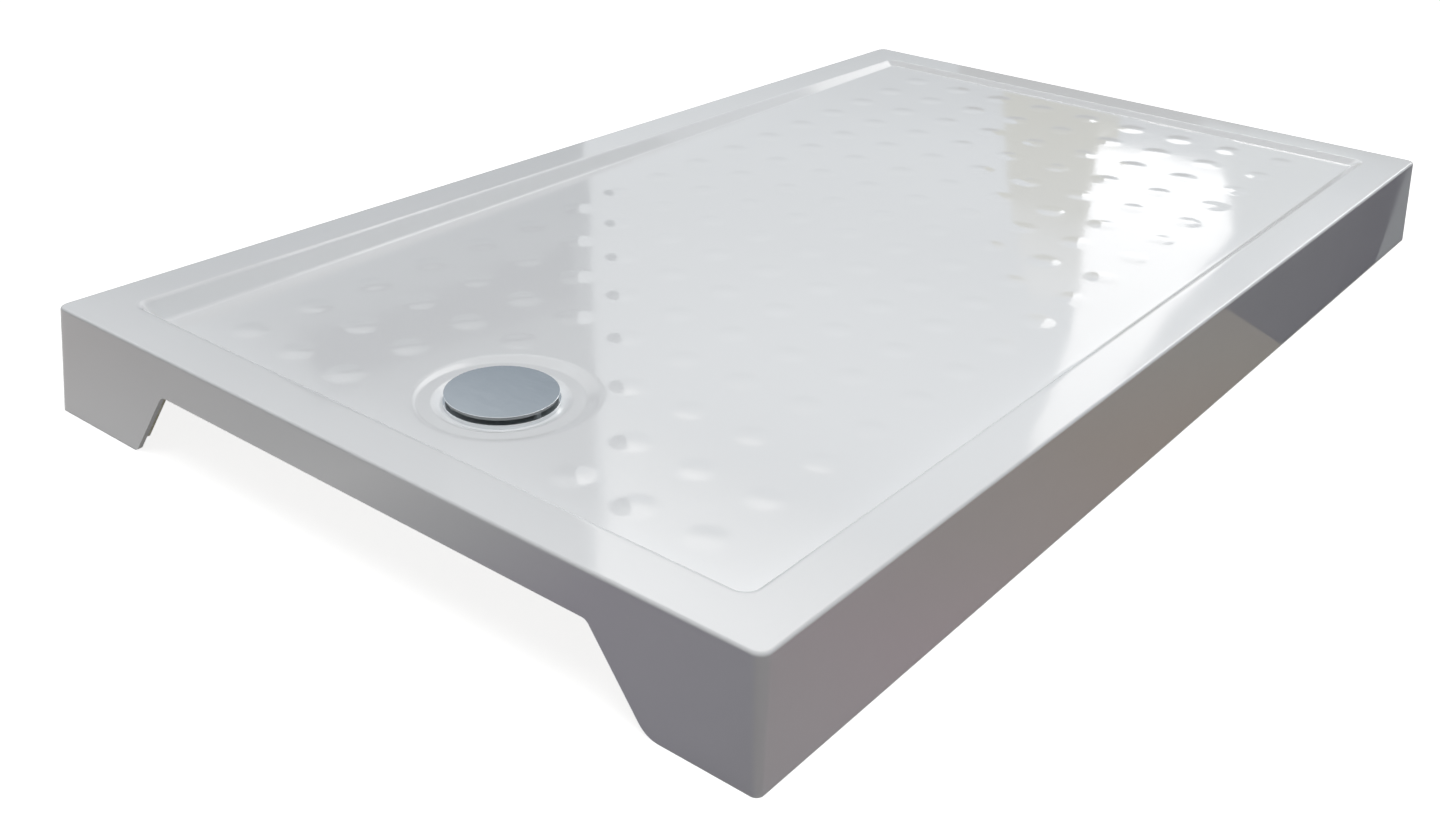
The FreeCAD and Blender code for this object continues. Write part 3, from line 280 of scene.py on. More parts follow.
def dome_height(x, y):
    """Height of the nearest anti-slip dome above the floor."""
    column = np.clip(np.round(x / DOME_PITCH[0]), -DOME_COUNT[0], DOME_COUNT[0])
    row = np.clip(np.round(y / DOME_PITCH[1]), -DOME_COUNT[1], DOME_COUNT[1])
    centre_x, centre_y = column * DOME_PITCH[0], row * DOME_PITCH[1]
    kept = np.hypot(centre_x, centre_y - WASTE_Y) > DOME_CLEARANCE
    reach = np.clip(np.hypot(x - centre_x, y - centre_y) / DOME_RADIUS, 0, 1)
    return np.where(kept, DOME_RISE * (1 - reach ** 2) ** 1.5, 0)


RECESS_CURVE = np.array(rounded_path(RECESS_PROFILE, (RECESS_ROUNDING,) * 3, RECESS_ARC_STEPS))
OUT_OF_REACH = 1000             # a level that the floor never meets, for places beyond the recess


def basin_level(x, y):
    """Level of the finished floor: slope, domes, and the stepped recess round the waste."""
    radius = np.hypot(x, y - WASTE_Y)
    plain = floor_level(y) + dome_height(x, y)
    recess = np.interp(radius, RECESS_CURVE[:, 0], RECESS_CURVE[:, 1], right=OUT_OF_REACH)
    blend = np.clip(0.5 + (plain - recess) / (2 * RECESS_BLEND), 0, 1)
    return plain * (1 - blend) + recess * blend - RECESS_BLEND * blend * (1 - blend)


# ---------------------------------------------------------------- the moulding's mesh

class Skin:
    """Points and faces of a mesh under construction."""

    def __init__(self):
        self.points = []
        self.faces = []

    def ring(self, plan, level):
        """Add points given by their plan and level; returns their numbers."""
        first = len(self.points)
        levels = np.broadcast_to(level, len(plan))
        self.points.extend((x, y, z) for (x, y), z in zip(plan.tolist(), levels.tolist()))
        return list(range(first, first + len(plan)))

    def strip(self, outer, inner, flip=False):
        """Quads between two closed rings of as many points."""
        for i, _ in enumerate(outer):
            j = (i + 1) % len(outer)
            quad = (outer[i], outer[j], inner[j], inner[i])
            self.faces.append(quad[::-1] if flip else quad)


def corner_radius(level):
    return CORNER_RADII[0] + (CORNER_RADII[1] - CORNER_RADII[0]) * level / HEIGHT


def skirt_ring(skin, places, level, out, corner):
    """A ring round the skirt at a level, so far out from the rim's outline."""
    return skin.ring(ring_plan(HALF_WIDTH + out, HALF_LENGTH + out, corner, places), level)


def outer_skirt(skin, places):
    """The flared skirt and the rim's rounded outer edge, from the ground up; returns the rings."""
    rings = []
    lean = math.atan(FLARE_SLOPE)
    set_in = RIM_EDGE_RADIUS * math.tan((math.pi / 2 - lean) / 2)
    centre_level = HEIGHT - RIM_EDGE_RADIUS
    arc_foot = centre_level + RIM_EDGE_RADIUS * math.sin(lean)
    for level in (*SKIRT_LEVELS, arc_foot - EDGE_LEAD):
        rings.append(skirt_ring(skin, places, level, FLARE_SLOPE * (HEIGHT - level), corner_radius(level)))
    for angle in np.linspace(lean, math.pi / 2, EDGE_RINGS):
        level = centre_level + RIM_EDGE_RADIUS * math.sin(angle)
        out = RIM_EDGE_RADIUS * math.cos(angle) - set_in
        rings.append(skirt_ring(skin, places, level, out, CORNER_RADII[1] + min(out, 0)))
    return rings


def inner_skirt(skin, places):
    """The skirt's inner face, from the ground up to the rim's underside; returns the rings."""
    rings = []
    for level in (0, HEIGHT - SHELL):
        out = FLARE_SLOPE * (HEIGHT - level) - SHELL
        rings.append(skirt_ring(skin, places, level, out, corner_radius(level) - SHELL))
    return rings


def wall_rings(skin, places):
    """The basin's wall: rim, roll, slope, cove, and the first strip of the floor."""
    top = ring_plan(HALF_WIDTH - RIM_WIDTH, HALF_LENGTH - RIM_WIDTH, WALL_CORNERS[0], places)
    foot = ring_plan(BASIN_HALF_X, BASIN_HALF_Y, WALL_CORNERS[1], places)
    inward = (foot - top) / WALL_RUN
    paths = []
    for place, step in zip(foot, inward):
        rise = floor_level(place[1]) - HEIGHT
        beyond = rise + WALL_TAIL * step[1] * FLOOR_FALL
        corners = ((-WALL_LEAD, 0), (0, 0), (WALL_RUN, rise), (WALL_RUN + WALL_TAIL, beyond))
        paths.append(rounded_path(corners, WALL_ROUNDINGS, WALL_ARC_STEPS))
    paths = np.array(paths)
    rings = []
    for k in range(paths.shape[1]):
        plan = top + inward * paths[:, k, 0:1]
        rings.append(skin.ring(plan, HEIGHT + paths[:, k, 1]))
    return rings


def join_to_wall(skin, last_ring, sides):
    """Quads from the wall's last ring to the floor's four sides, and fans at its corners."""
    place = 0
    for side in sides:
        run = last_ring[place:place + len(side)]
        for i in range(len(side) - 1):
            skin.faces.append((run[i], run[i + 1], side[i + 1], side[i]))
        place += len(side)
        arc = [run[-1]] + last_ring[place:place + CORNER_STEPS]
        place += CORNER_STEPS
        arc.append(last_ring[place % len(last_ring)])
        for a, b in zip(arc, arc[1:]):
            skin.faces.append((a, b, side[-1]))


def floor_grid(skin, last_ring):
    """The floor: square cells with the domes, open round the waste. Returns the opening's ring."""
    columns, rows = CELLS[0] + 1, CELLS[1] + 1
    middle_column, middle_row = CELLS[0] // 2, CELLS[1] // 2
    xs = (np.arange(columns) - middle_column) * CELL[0]
    ys = (np.arange(rows) - middle_row) * CELL[1]
    left, right = middle_column - PATCH_HALF_COLUMNS, middle_column + PATCH_HALF_COLUMNS
    low, high = middle_row + PATCH_ROWS[0], middle_row + PATCH_ROWS[1]
    used = np.ones((rows, columns), bool)
    used[low + 1:high, left + 1:right] = False
    x, y = np.meshgrid(xs, ys)
    number = np.full((rows, columns), -1)
    number[used] = skin.ring(np.stack([x[used], y[used]], 1), basin_level(x[used], y[used]))
    for j in range(rows - 1):
        for i in range(columns - 1):
            if low <= j < high and left <= i < right:
                continue
            skin.faces.append((number[j, i], number[j, i + 1], number[j + 1, i + 1], number[j + 1, i]))
    join_to_wall(skin, last_ring, (number[0, :], number[:, -1], number[-1, ::-1], number[::-1, 0]))
    return np.concatenate([
        number[low, left:right], number[low:high, right],
        number[high, right:left:-1], number[high:low:-1, left],
    ]).tolist()


def recess_rings(skin, opening):
    """Fill the opening round the waste with rings that are round near the hole."""
    edge = np.array([skin.points[i][:2] for i in opening])
    arms = edge - (0, WASTE_Y)
    reach = np.hypot(arms[:, 0], arms[:, 1])
    directions = arms / reach[:, None]
    shares = [1 - k / PATCH_STEPS for k in range(1, PATCH_STEPS + 1)]
    fine_rings = np.arange(RECESS_END - RING_SPACING, FINE_RINGS_END, -RING_SPACING)
    radii = [RECESS_END + (reach - RECESS_END) * share for share in shares]
    radii += [np.full(len(reach), radius) for radius in (*fine_rings, *FLAT_RING_RADII)]
    outer = opening
    for radius in radii:
        plan = directions * radius[:, None] + (0, WASTE_Y)
        inner = skin.ring(plan, basin_level(plan[:, 0], plan[:, 1]))
        skin.strip(outer, inner)
        outer = inner
    return outer, directions


def recess_underside(skin, hole_ring, directions):
    """The hole's wall and the recess seen from below; returns the ring where the floor begins."""
    outer = hole_ring
    for radius, level in RECESS_UNDERSIDE:
        inner = skin.ring(directions * radius + (0, WASTE_Y), level)
        skin.strip(outer, inner)
        outer = inner
    plan = directions * (RECESS_END - RING_SPACING) + (0, WASTE_Y)
    floor_edge = skin.ring(plan, floor_level(plan[:, 1]) - SHELL)
    skin.strip(outer, floor_edge)
    return floor_edge


def shell_inside(skin):
    """Inner skirt, rim underside and wall, a sheet's thickness inside; returns first and last ring."""
    places = side_places(UNDERSIDE_CELLS)
    top = ring_plan(HALF_WIDTH - RIM_WIDTH + UNDERSIDE_SET_OUT, HALF_LENGTH - RIM_WIDTH + UNDERSIDE_SET_OUT,
                    WALL_CORNERS[0], places)
    foot = ring_plan(BASIN_HALF_X + UNDERSIDE_SET_OUT, BASIN_HALF_Y + UNDERSIDE_SET_OUT,
                     WALL_CORNERS[1], places)
    rings = inner_skirt(skin, places)
    rings.append(skin.ring(top, HEIGHT - SHELL))
    rings.append(skin.ring(foot, floor_level(foot[:, 1]) - SHELL))
    for a, b in zip(rings, rings[1:]):
        skin.strip(a, b, flip=True)
    return rings[0], rings[-1]


def new_object(name, points, faces):
    """An object whose mesh has these faces and these points, in metres."""
    mesh = bpy.data.meshes.new(name)
    mesh.from_pydata(points, [], faces)
    mesh.update()
    made = bpy.data.objects.new(name, mesh)
    bpy.context.scene.collection.objects.link(made)
    return made


def object_from(name, points, faces):
    """An object whose points are given in millimetres."""
    return new_object(name, [(x * MM, y * MM, z * MM) for x, y, z in points], faces)


def fill_between(mesh, *rings):
    """Fill the flat band between two rings with triangles."""
    bm = bmesh.new()
    bm.from_mesh(mesh)
    bm.verts.ensure_lookup_table()
    edges = []
    for ring in rings:
        for a, b in zip(ring, ring[1:] + ring[:1]):
            edges.append(bm.edges.get((bm.verts[a], bm.verts[b])))
    bmesh.ops.triangle_fill(bm, edges=edges, use_beauty=True)
    bm.to_mesh(mesh)
    bm.free()


def face_outwards(mesh):
    """Turn the faces of a closed mesh outwards."""
    bm = bmesh.new()
    bm.from_mesh(mesh)
    bmesh.ops.recalc_face_normals(bm, faces=bm.faces)
    bm.to_mesh(mesh)
    bm.free()


def apply_modifiers(made):
    graph = bpy.context.evaluated_depsgraph_get()
    finished = bpy.data.meshes.new_from_object(made.evaluated_get(graph))
    made.modifiers.clear()
    made.data = finished


def smooth_with_creases(made, degrees):
    """Smooth shading, broken where faces meet at more than an angle, weighted by face area."""
    mesh = made.data
    for polygon in mesh.polygons:
        polygon.use_smooth = True
    mesh.set_sharp_from_angle(angle=math.radians(degrees))
    weighted = made.modifiers.new("normals", "WEIGHTED_NORMAL")
    weighted.keep_sharp = True
    weighted.weight = NORMAL_WEIGHT


def cutout_block():
    """The prism that leaves the pipe's cut-out in the waste-end skirt."""
    outline = rounded_path(CUTOUT_OUTLINE, CUTOUT_ROUNDINGS, CUTOUT_ARC_STEPS)
    count = len(outline)
    points = [(x, y, z) for y in CUTOUT_REACH for x, z in outline]
    faces = [tuple(range(count)), tuple(range(2 * count - 1, count - 1, -1))]
    for i in range(count):
        j = (i + 1) % count
        faces.append((j, i, count + i, count + j))
    block = object_from("cutout_block", points, faces)
    face_outwards(block.data)
    return block


def cut_away(made, block):
    """Take the block's shape out of the made object."""
    cut = made.modifiers.new("pipe_cutout", "BOOLEAN")
    cut.operation = "DIFFERENCE"
    cut.solver = "EXACT"
    cut.object = block
    apply_modifiers(made)
    bpy.data.objects.remove(block)


def make_tray():
    """The acrylic shell as one closed mesh."""
    skin = Skin()
    places = side_places(CELLS)
    rings = outer_skirt(skin, places) + wall_rings(skin, places)
    for a, b in zip(rings, rings[1:]):
        skin.strip(a, b)
    opening = floor_grid(skin, rings[-1])
    hole_ring, directions = recess_rings(skin, opening)
    recess_edge = recess_underside(skin, hole_ring, directions)
    inner_ground, inner_floor = shell_inside(skin)
    made = object_from("acrylic_tray", skin.points, skin.faces)
    fill_between(made.data, rings[0], inner_ground)
    fill_between(made.data, inner_floor, recess_edge)
    face_outwards(made.data)
    cut_away(made, cutout_block())
    return made


def mark_sawn_edges(mesh):
    """Give the second material to the sheet's sawn edges, along the ground and round the cut-out.

    The cut-out's top looks down; its sides look across the tray, neither along it nor straight up.
    """
    for polygon in mesh.polygons:
        middle, normal = polygon.center / MM, polygon.normal
        at_ground = middle.z < GROUND_BAND
        cutout_top = normal.z < -0.5 and middle.z < CUTOUT_TOP + SAWN_MARGIN
        in_skirt = middle.y < SAWN_MARGIN - HALF_LENGTH and abs(middle.x) < CUTOUT_SPAN
        cutout_side = in_skirt and abs(normal.z) < 0.999 and abs(normal.y) < 0.02
        polygon.material_index = 1 if at_ground or cutout_top or cutout_side else 0


def turned_object(name, profile):
    """A closed outline of (radius, level) pairs, turned about the waste's axis."""
    points, faces, rows = [], [], []
    for radius, level in profile:
        if radius == 0:
            points.append((0, WASTE_Y, level))
            rows.append([len(points) - 1] * TURNED_SEGMENTS)
            continue
        first = len(points)
        for k in range(TURNED_SEGMENTS):
            angle = 2 * math.pi * k / TURNED_SEGMENTS
            points.append((radius * math.cos(angle), WASTE_Y + radius * math.sin(angle), level))
        rows.append(list(range(first, first + TURNED_SEGMENTS)))
    pairs = list(zip(rows, rows[1:]))
    if profile[0][0] != 0:
        pairs.append((rows[-1], rows[0]))
    for low, high in pairs:
        for i in range(TURNED_SEGMENTS):
            j = (i + 1) % TURNED_SEGMENTS
            face = []
            for corner in (low[i], low[j], high[j], high[i]):
                if corner not in face:
                    face.append(corner)
            if len(face) > 2:
                faces.append(face)
    made = object_from(name, points, faces)
    face_outwards(made.data)
    return made


# ---------------------------------------------------------------- materials

class Nodes:
    """The node tree of a material or a world, emptied, with short calls for the nodes used here."""

    def __init__(self, owner, output_kind):
        owner.use_nodes = True
        self.tree = owner.node_tree
        self.tree.nodes.clear()
        self.output = self.add(output_kind)

    def add(self, kind, **values):
        made = self.tree.nodes.new(kind)
        for key, value in values.items():
            setattr(made, key, value)
        return made

    def link(self, source, target):
        self.tree.links.new(source, target)

    def larger(self, first, second):
        made = self.add("ShaderNodeMath", operation="MAXIMUM")
        self.link(first, made.inputs[0])
        self.link(second, made.inputs[1])
        return made.outputs["Value"]

    def mixed_shader(self, share, first, second):
        made = self.add("ShaderNodeMixShader")
        self.link(share, made.inputs["Fac"])
        self.link(first, made.inputs[1])
        self.link(second, made.inputs[2])
        return made.outputs["Shader"]

    def seen(self):
        """1 for rays from the camera, off gloss and through glass, and 0 for the rest."""
        path = self.add("ShaderNodeLightPath").outputs
        gloss_or_glass = self.larger(path["Is Glossy Ray"], path["Is Transmission Ray"])
        return self.larger(path["Is Camera Ray"], gloss_or_glass)


class MaterialNodes(Nodes):
    """A new material's nodes, with its textures placed by object coordinates."""

    def __init__(self, name):
        self.material = bpy.data.materials.new(name)
        super().__init__(self.material, "ShaderNodeOutputMaterial")
        self.place = self.add("ShaderNodeTexCoord").outputs["Object"]

    def stretched(self, scale):
        """Object coordinates, scaled apart along each axis."""
        mapping = self.add("ShaderNodeMapping")
        mapping.inputs["Scale"].default_value = scale
        self.link(self.place, mapping.inputs["Vector"])
        return mapping.outputs["Vector"]

    def noise(self, scale, detail=3, roughness=0.5, place=None):
        made = self.add("ShaderNodeTexNoise")
        made.inputs["Scale"].default_value = scale
        made.inputs["Detail"].default_value = detail
        made.inputs["Roughness"].default_value = roughness
        self.link(place or self.place, made.inputs["Vector"])
        return made.outputs["Fac"]

    def cells(self, scale, stretch, **values):
        """A Voronoi texture on stretched coordinates; returns its outputs."""
        made = self.add("ShaderNodeTexVoronoi", **values)
        made.inputs["Scale"].default_value = scale
        self.link(self.stretched(stretch), made.inputs["Vector"])
        return made.outputs

    def spread(self, source, low, high, start=0.3, end=0.7):
        """Map a grey value from start..end to low..high."""
        made = self.add("ShaderNodeMapRange")
        for key, value in (("From Min", start), ("From Max", end), ("To Min", low), ("To Max", high)):
            made.inputs[key].default_value = value
        self.link(source, made.inputs["Value"])
        return made.outputs["Result"]

    def mix(self, share, first, second):
        """A colour between two others."""
        made = self.add("ShaderNodeMix", data_type="RGBA")
        self.link(share, made.inputs["Factor"])
        for key, colour in (("A", first), ("B", second)):
            socket = next(socket for socket in made.inputs if socket.name == key and socket.type == "RGBA")
            socket.default_value = (*colour, 1)
        return next(socket for socket in made.outputs if socket.type == "RGBA")

    def bump(self, height, distance, strength, below=None):
        made = self.add("ShaderNodeBump")
        made.inputs["Distance"].default_value = distance
        made.inputs["Strength"].default_value = strength
        self.link(height, made.inputs["Height"])
        if below is not None:
            self.link(below, made.inputs["Normal"])
        return made.outputs["Normal"]

    def diffuse(self, colour):
        made = self.add("ShaderNodeBsdfDiffuse")
        made.inputs["Color"].default_value = (*colour, 1)
        return made.outputs["BSDF"]

    def surface(self, colour, roughness, normal, **fixed):
        """The Principled shader that ends every material of the object."""
        shader = self.add("ShaderNodeBsdfPrincipled")
        self.link(colour, shader.inputs["Base Color"])
        self.link(roughness, shader.inputs["Roughness"])
        self.link(normal, shader.inputs["Normal"])
        for key, value in fixed.items():
            shader.inputs[key].default_value = value
        return self.ended(shader.outputs["BSDF"])

    def ended(self, shader):
        """Link the last shader to the output; returns the finished material."""
        self.link(shader, self.output.inputs["Surface"])
        return self.material


ACRYLIC_IOR = 1.49


def acrylic_material():
    """High-gloss white acrylic, with the faint waves of a vacuum-formed sheet."""
    nodes = MaterialNodes("acrylic_gloss")
    cloud = nodes.noise(scale=2.2, detail=2)
    colour = nodes.mix(nodes.spread(cloud, 0, 1), (0.79, 0.805, 0.82), (0.82, 0.835, 0.85))
    wear = nodes.noise(scale=14, detail=6, roughness=0.7)
    roughness = nodes.spread(wear, 0.045, 0.085)
    wave = nodes.bump(nodes.noise(scale=7, detail=1), distance=0.0012, strength=0.35)
    skin = nodes.bump(nodes.noise(scale=260, detail=2), distance=0.00002, strength=0.5, below=wave)
    return nodes.surface(colour, roughness, skin, IOR=ACRYLIC_IOR)


def sawn_edge_material():
    """The sheet's sawn edge: satin white, with fine saw marks."""
    nodes = MaterialNodes("acrylic_sawn_edge")
    marks = nodes.noise(scale=900, detail=3, roughness=0.6, place=nodes.stretched((1, 1, 0.15)))
    colour = nodes.mix(nodes.spread(marks, 0, 1), (0.84, 0.84, 0.84), (0.90, 0.90, 0.90))
    relief = nodes.bump(marks, distance=0.00005, strength=0.4)
    return nodes.surface(colour, nodes.spread(marks, 0.14, 0.30), relief, IOR=ACRYLIC_IOR)


def chrome_material():
    """Bright chrome plate with faint wiping marks."""
    nodes = MaterialNodes("chrome_plate")
    smear = nodes.noise(scale=45, detail=5, roughness=0.65, place=nodes.stretched((1, 3, 1)))
    colour = nodes.mix(nodes.spread(smear, 0, 1), (0.715, 0.73, 0.74), (0.75, 0.765, 0.775))
    relief = nodes.bump(nodes.noise(scale=60, detail=2), distance=0.0001, strength=0.1)
    return nodes.surface(colour, nodes.spread(smear, 0.05, 0.08), relief, Metallic=1.0)


def moulded_material(name, dark, light, roughness, grain, depth):
    """Injection-moulded plastic or rubber with a fine grain."""
    nodes = MaterialNodes(name)
    speckle = nodes.noise(scale=grain, detail=4, roughness=0.6)
    cloud = nodes.noise(scale=35, detail=2)
    colour = nodes.mix(nodes.spread(cloud, 0, 1), dark, light)
    relief = nodes.bump(speckle, distance=depth, strength=0.7)
    return nodes.surface(colour, nodes.spread(speckle, *roughness), relief)


def zinc_material():
    """Zinc plate with a cloudy bloom."""
    nodes = MaterialNodes("zinc_plate")
    bloom = nodes.noise(scale=120, detail=5, roughness=0.7)
    colour = nodes.mix(nodes.spread(bloom, 0, 1), (0.50, 0.51, 0.50), (0.68, 0.68, 0.66))
    relief = nodes.bump(bloom, distance=0.00005, strength=0.5)
    return nodes.surface(colour, nodes.spread(bloom, 0.25, 0.45), relief, Metallic=1.0)


def laminate_material():
    """Sprayed glass-fibre laminate: chopped strands in yellowish resin."""
    nodes = MaterialNodes("glass_laminate")
    strands = nodes.cells(scale=85, stretch=(1, 0.35, 1), feature="DISTANCE_TO_EDGE")
    crossing = nodes.cells(scale=95, stretch=(0.3, 1, 1), feature="DISTANCE_TO_EDGE")
    both = nodes.add("ShaderNodeMath", operation="MINIMUM")
    nodes.link(strands["Distance"], both.inputs[0])
    nodes.link(crossing["Distance"], both.inputs[1])
    thread = nodes.spread(both.outputs["Value"], 1, 0, start=0.0, end=0.12)
    colour = nodes.mix(thread, (0.62, 0.58, 0.42), (0.80, 0.78, 0.66))
    relief = nodes.bump(thread, distance=0.0004, strength=0.8)
    return nodes.surface(colour, nodes.spread(nodes.noise(scale=40), 0.35, 0.6), relief)


def board_material():
    """Raw particle board: chips of several browns."""
    nodes = MaterialNodes("particle_board")
    chips = nodes.cells(scale=320, stretch=(1, 0.5, 1))
    split = nodes.add("ShaderNodeSeparateColor")
    nodes.link(chips["Color"], split.inputs["Color"])
    colour = nodes.mix(split.outputs["Red"], (0.36, 0.25, 0.14), (0.66, 0.51, 0.33))
    relief = nodes.bump(split.outputs["Green"], distance=0.0003, strength=0.7)
    return nodes.surface(colour, nodes.spread(nodes.noise(scale=200), 0.6, 0.85), relief)


def dress(made, *materials):
    made.data.materials.clear()
    for material in materials:
        made.data.materials.append(material)


def dress_nodes():
    """Give each of the solids the material of its slot."""
    by_slot = {
        "acrylic": ACRYLIC,
        "chrome": CHROME,
        "laminate": laminate_material(),
        "board": board_material(),
        "zinc_steel": zinc_material(),
        "black_plastic": moulded_material(
            "black_moulding", (0.018, 0.018, 0.02), (0.035, 0.035, 0.038),
            roughness=(0.43, 0.60), grain=900, depth=0.00006),
        "grey_plastic": moulded_material(
            "grey_moulding", (0.34, 0.36, 0.37), (0.42, 0.44, 0.45),
            roughness=(0.33, 0.50), grain=700, depth=0.00003),
        "white_plastic": moulded_material(
            "white_moulding", (0.70, 0.70, 0.68), (0.80, 0.80, 0.78),
            roughness=(0.33, 0.50), grain=600, depth=0.00004),
        "rubber": moulded_material(
            "soft_rubber", (0.015, 0.015, 0.015), (0.03, 0.03, 0.03),
            roughness=(0.58, 0.75), grain=1200, depth=0.00005),
    }
    for subpart in frame["record"]["subparts"]:
        dress(NODES[subpart["node"]], by_slot[subpart["material_slot"]])


# ---------------------------------------------------------------- the studio

def studio_mesh(name, corners, faces=None):
    """A piece of the studio, which isn't part of the object."""
    made = new_object(name, corners, faces or [tuple(range(len(corners)))])
    return made


def rectangle(left, near, right, far):
    return ((left, near), (right, near), (right, far), (left, far))


def level_corners(outline, level):
    """Corners of a level piece whose outline is in (x, y)."""
    return [(x, y, level) for x, y in outline]


def studio_floor():
    """Plain pale floor: white to the eye and in reflections, darker as a source of bounced light.

    It is clear from below, so that the tray's underside can be looked at.
    """
    outline = rectangle(-FLOOR_HALF, -FLOOR_HALF, FLOOR_HALF, FLOOR_HALF)
    floor = studio_mesh("studio_floor", level_corners(outline, 0))
    nodes = MaterialNodes("studio_floor")
    away = nodes.add("ShaderNodeVectorMath", operation="LENGTH")
    nodes.link(nodes.place, away.inputs[0])
    glow = nodes.add("ShaderNodeEmission")
    nodes.link(nodes.spread(away.outputs["Value"], FLOOR_GLOW, 1, *FLOOR_PALER), glow.inputs["Strength"])
    pale = nodes.add("ShaderNodeAddShader")
    nodes.link(nodes.diffuse(FLOOR_SHADOW_CATCH), pale.inputs[0])
    nodes.link(glow.outputs["Emission"], pale.inputs[1])
    from_above = nodes.mixed_shader(nodes.seen(), nodes.diffuse(FLOOR_BOUNCE), pale.outputs["Shader"])
    side = nodes.add("ShaderNodeNewGeometry")
    clear = nodes.add("ShaderNodeBsdfTransparent")
    from_both = nodes.mixed_shader(side.outputs["Backfacing"], from_above, clear.outputs["BSDF"])
    dress(floor, nodes.ended(from_both))


def studio_world():
    """Soft light from all round, and plain white to the eye, in the gloss and through glass."""
    world = bpy.data.worlds.new("studio")
    bpy.context.scene.world = world
    nodes = Nodes(world, "ShaderNodeOutputWorld")
    ambient = nodes.add("ShaderNodeBackground")
    ambient.inputs["Strength"].default_value = AMBIENT
    white = nodes.add("ShaderNodeBackground")
    for shader in (ambient, white):
        shader.inputs["Color"].default_value = (1, 1, 1, 1)
    chosen = nodes.mixed_shader(nodes.seen(), ambient.outputs["Background"], white.outputs["Background"])
    nodes.link(chosen, nodes.output.inputs["Surface"])


def overhead_lamp():
    """A large soft lamp above the tray, out of the view and of the gloss."""
    data = bpy.data.lights.new("overhead", "AREA")
    data.shape = "RECTANGLE"
    data.size = LAMP_SIDE
    data.size_y = LAMP_SIDE
    data.energy = LAMP_POWER
    lamp = bpy.data.objects.new("overhead", data)
    lamp.location = LAMP_PLACE
    towards = Vector(LAMP_TARGET) - Vector(LAMP_PLACE)
    lamp.rotation_euler = towards.to_track_quat("-Z", "Y").to_euler()
    lamp.visible_camera = False
    lamp.visible_glossy = False
    bpy.context.scene.collection.objects.link(lamp)


def set_ramp(ramp, stops):
    """Give a colour ramp its stops: (place, colour) pairs."""
    elements = ramp.color_ramp.elements
    while len(elements) > 1:
        elements.remove(elements[-1])
    for k, (place, colour) in enumerate(stops):
        element = elements[0] if k == 0 else elements.new(place)
        element.position = place
        element.color = (*colour, 1)


def glowing_card(name, corners, glow, axis="Z", span=(0, 1), strength=1.0, faces=None):
    """A card out of view, seen only in the gloss; its glow may change along one axis."""
    card = studio_mesh(name, corners, faces)
    card.visible_camera = False
    card.visible_diffuse = False
    card.visible_shadow = False
    nodes = MaterialNodes(name)
    split = nodes.add("ShaderNodeSeparateXYZ")
    nodes.link(nodes.place, split.inputs["Vector"])
    ramp = nodes.add("ShaderNodeValToRGB")
    nodes.link(nodes.spread(split.outputs[axis], 0, 1, *span), ramp.inputs["Fac"])
    set_ramp(ramp, glow)
    emission = nodes.add("ShaderNodeEmission")
    emission.inputs["Strength"].default_value = strength
    nodes.link(ramp.outputs["Color"], emission.inputs["Color"])
    dress(card, nodes.ended(emission.outputs["Emission"]))


def plain(red, green, blue):
    """A glow of one colour."""
    return ((0, (red, green, blue)),)


def room_card(name, layer, outline, glow, span=(0, 1), strength=1.0):
    """An upright card beyond the tray's far end, whose glow may change with height."""
    corners = [(x, layer, z) for x, z in outline]
    glowing_card(name, corners, glow, "Z", span, strength)


def ground_card(name, outline, glow, level=GROUND_LEVEL, axis="Z", span=(0, 1), strength=1.0):
    """A card that lies on the ground outside the tray."""
    glowing_card(name, level_corners(outline, level), glow, axis, span, strength)


def make_cyclorama():
    """A round backdrop, seen only in the gloss, that grows lighter upwards and darker again."""
    around = [2 * math.pi * k / ROOM_SIDES for k in range(ROOM_SIDES)]
    corners = []
    for level in (0, ROOM_TOP):
        corners += [(ROOM_RADIUS * math.cos(a), ROOM_RADIUS * math.sin(a), level) for a in around]
    faces = []
    for k in range(ROOM_SIDES):
        after = (k + 1) % ROOM_SIDES
        faces.append((k, after, ROOM_SIDES + after, ROOM_SIDES + k))
    peak = max(level for _, level in ROOM_LEVELS)
    glow = []
    for rise, level in ROOM_LEVELS:
        height = ROOM_RADIUS * math.tan(math.radians(rise))
        glow.append((height / ROOM_TOP, tuple(tint * level / peak for tint in ROOM_TINT)))
    glowing_card("cyclorama", corners, glow, span=(0, ROOM_TOP), strength=peak, faces=faces)


def make_room_cards():
    """The bright and dark things of the room that the tray's gloss and the chrome pick up."""
    room_card("window", WINDOW_LAYER, WINDOW, WHITE, strength=3.0)
    room_card("curtain", CURTAIN_LAYER, CURTAIN, CURTAIN_GLOW, span=(0.86, 1.40))
    room_card("side_wall", WALL_LAYER, SIDE_WALL, SIDE_WALL_GLOW, span=SIDE_WALL_SPAN)
    room_card("side_wall_end", WALL_LAYER, SIDE_WALL_END, SIDE_WALL_END_GLOW, span=SIDE_WALL_SPAN)
    room_card("high_window", CURTAIN_LAYER, HIGH_WINDOW, HIGH_WINDOW_GLOW, span=(2.6, 3.3), strength=3.3)
    room_card("strip", CURTAIN_LAYER, STRIP, WHITE, strength=4.0)
    room_card("right_wall", WALL_LAYER, RIGHT_WALL, plain(0.60, 0.68, 0.70))
    room_card("low_wall", LOW_LAYER, LOW_WALL, plain(0.56, 0.56, 0.56))
    room_card("beyond_window", CURTAIN_LAYER, BEYOND_WINDOW, plain(1.12, 1.18, 1.20))
    room_card("low_wall_right", LOW_LAYER, LOW_WALL_RIGHT, plain(0.71, 0.74, 0.75))
    glowing_card("skylight", level_corners(SKYLIGHT, SKYLIGHT_LEVEL), WHITE, strength=6.0)
    room_card("shelf", SHELF_LAYER, SHELF, plain(0.10, 0.12, 0.18))


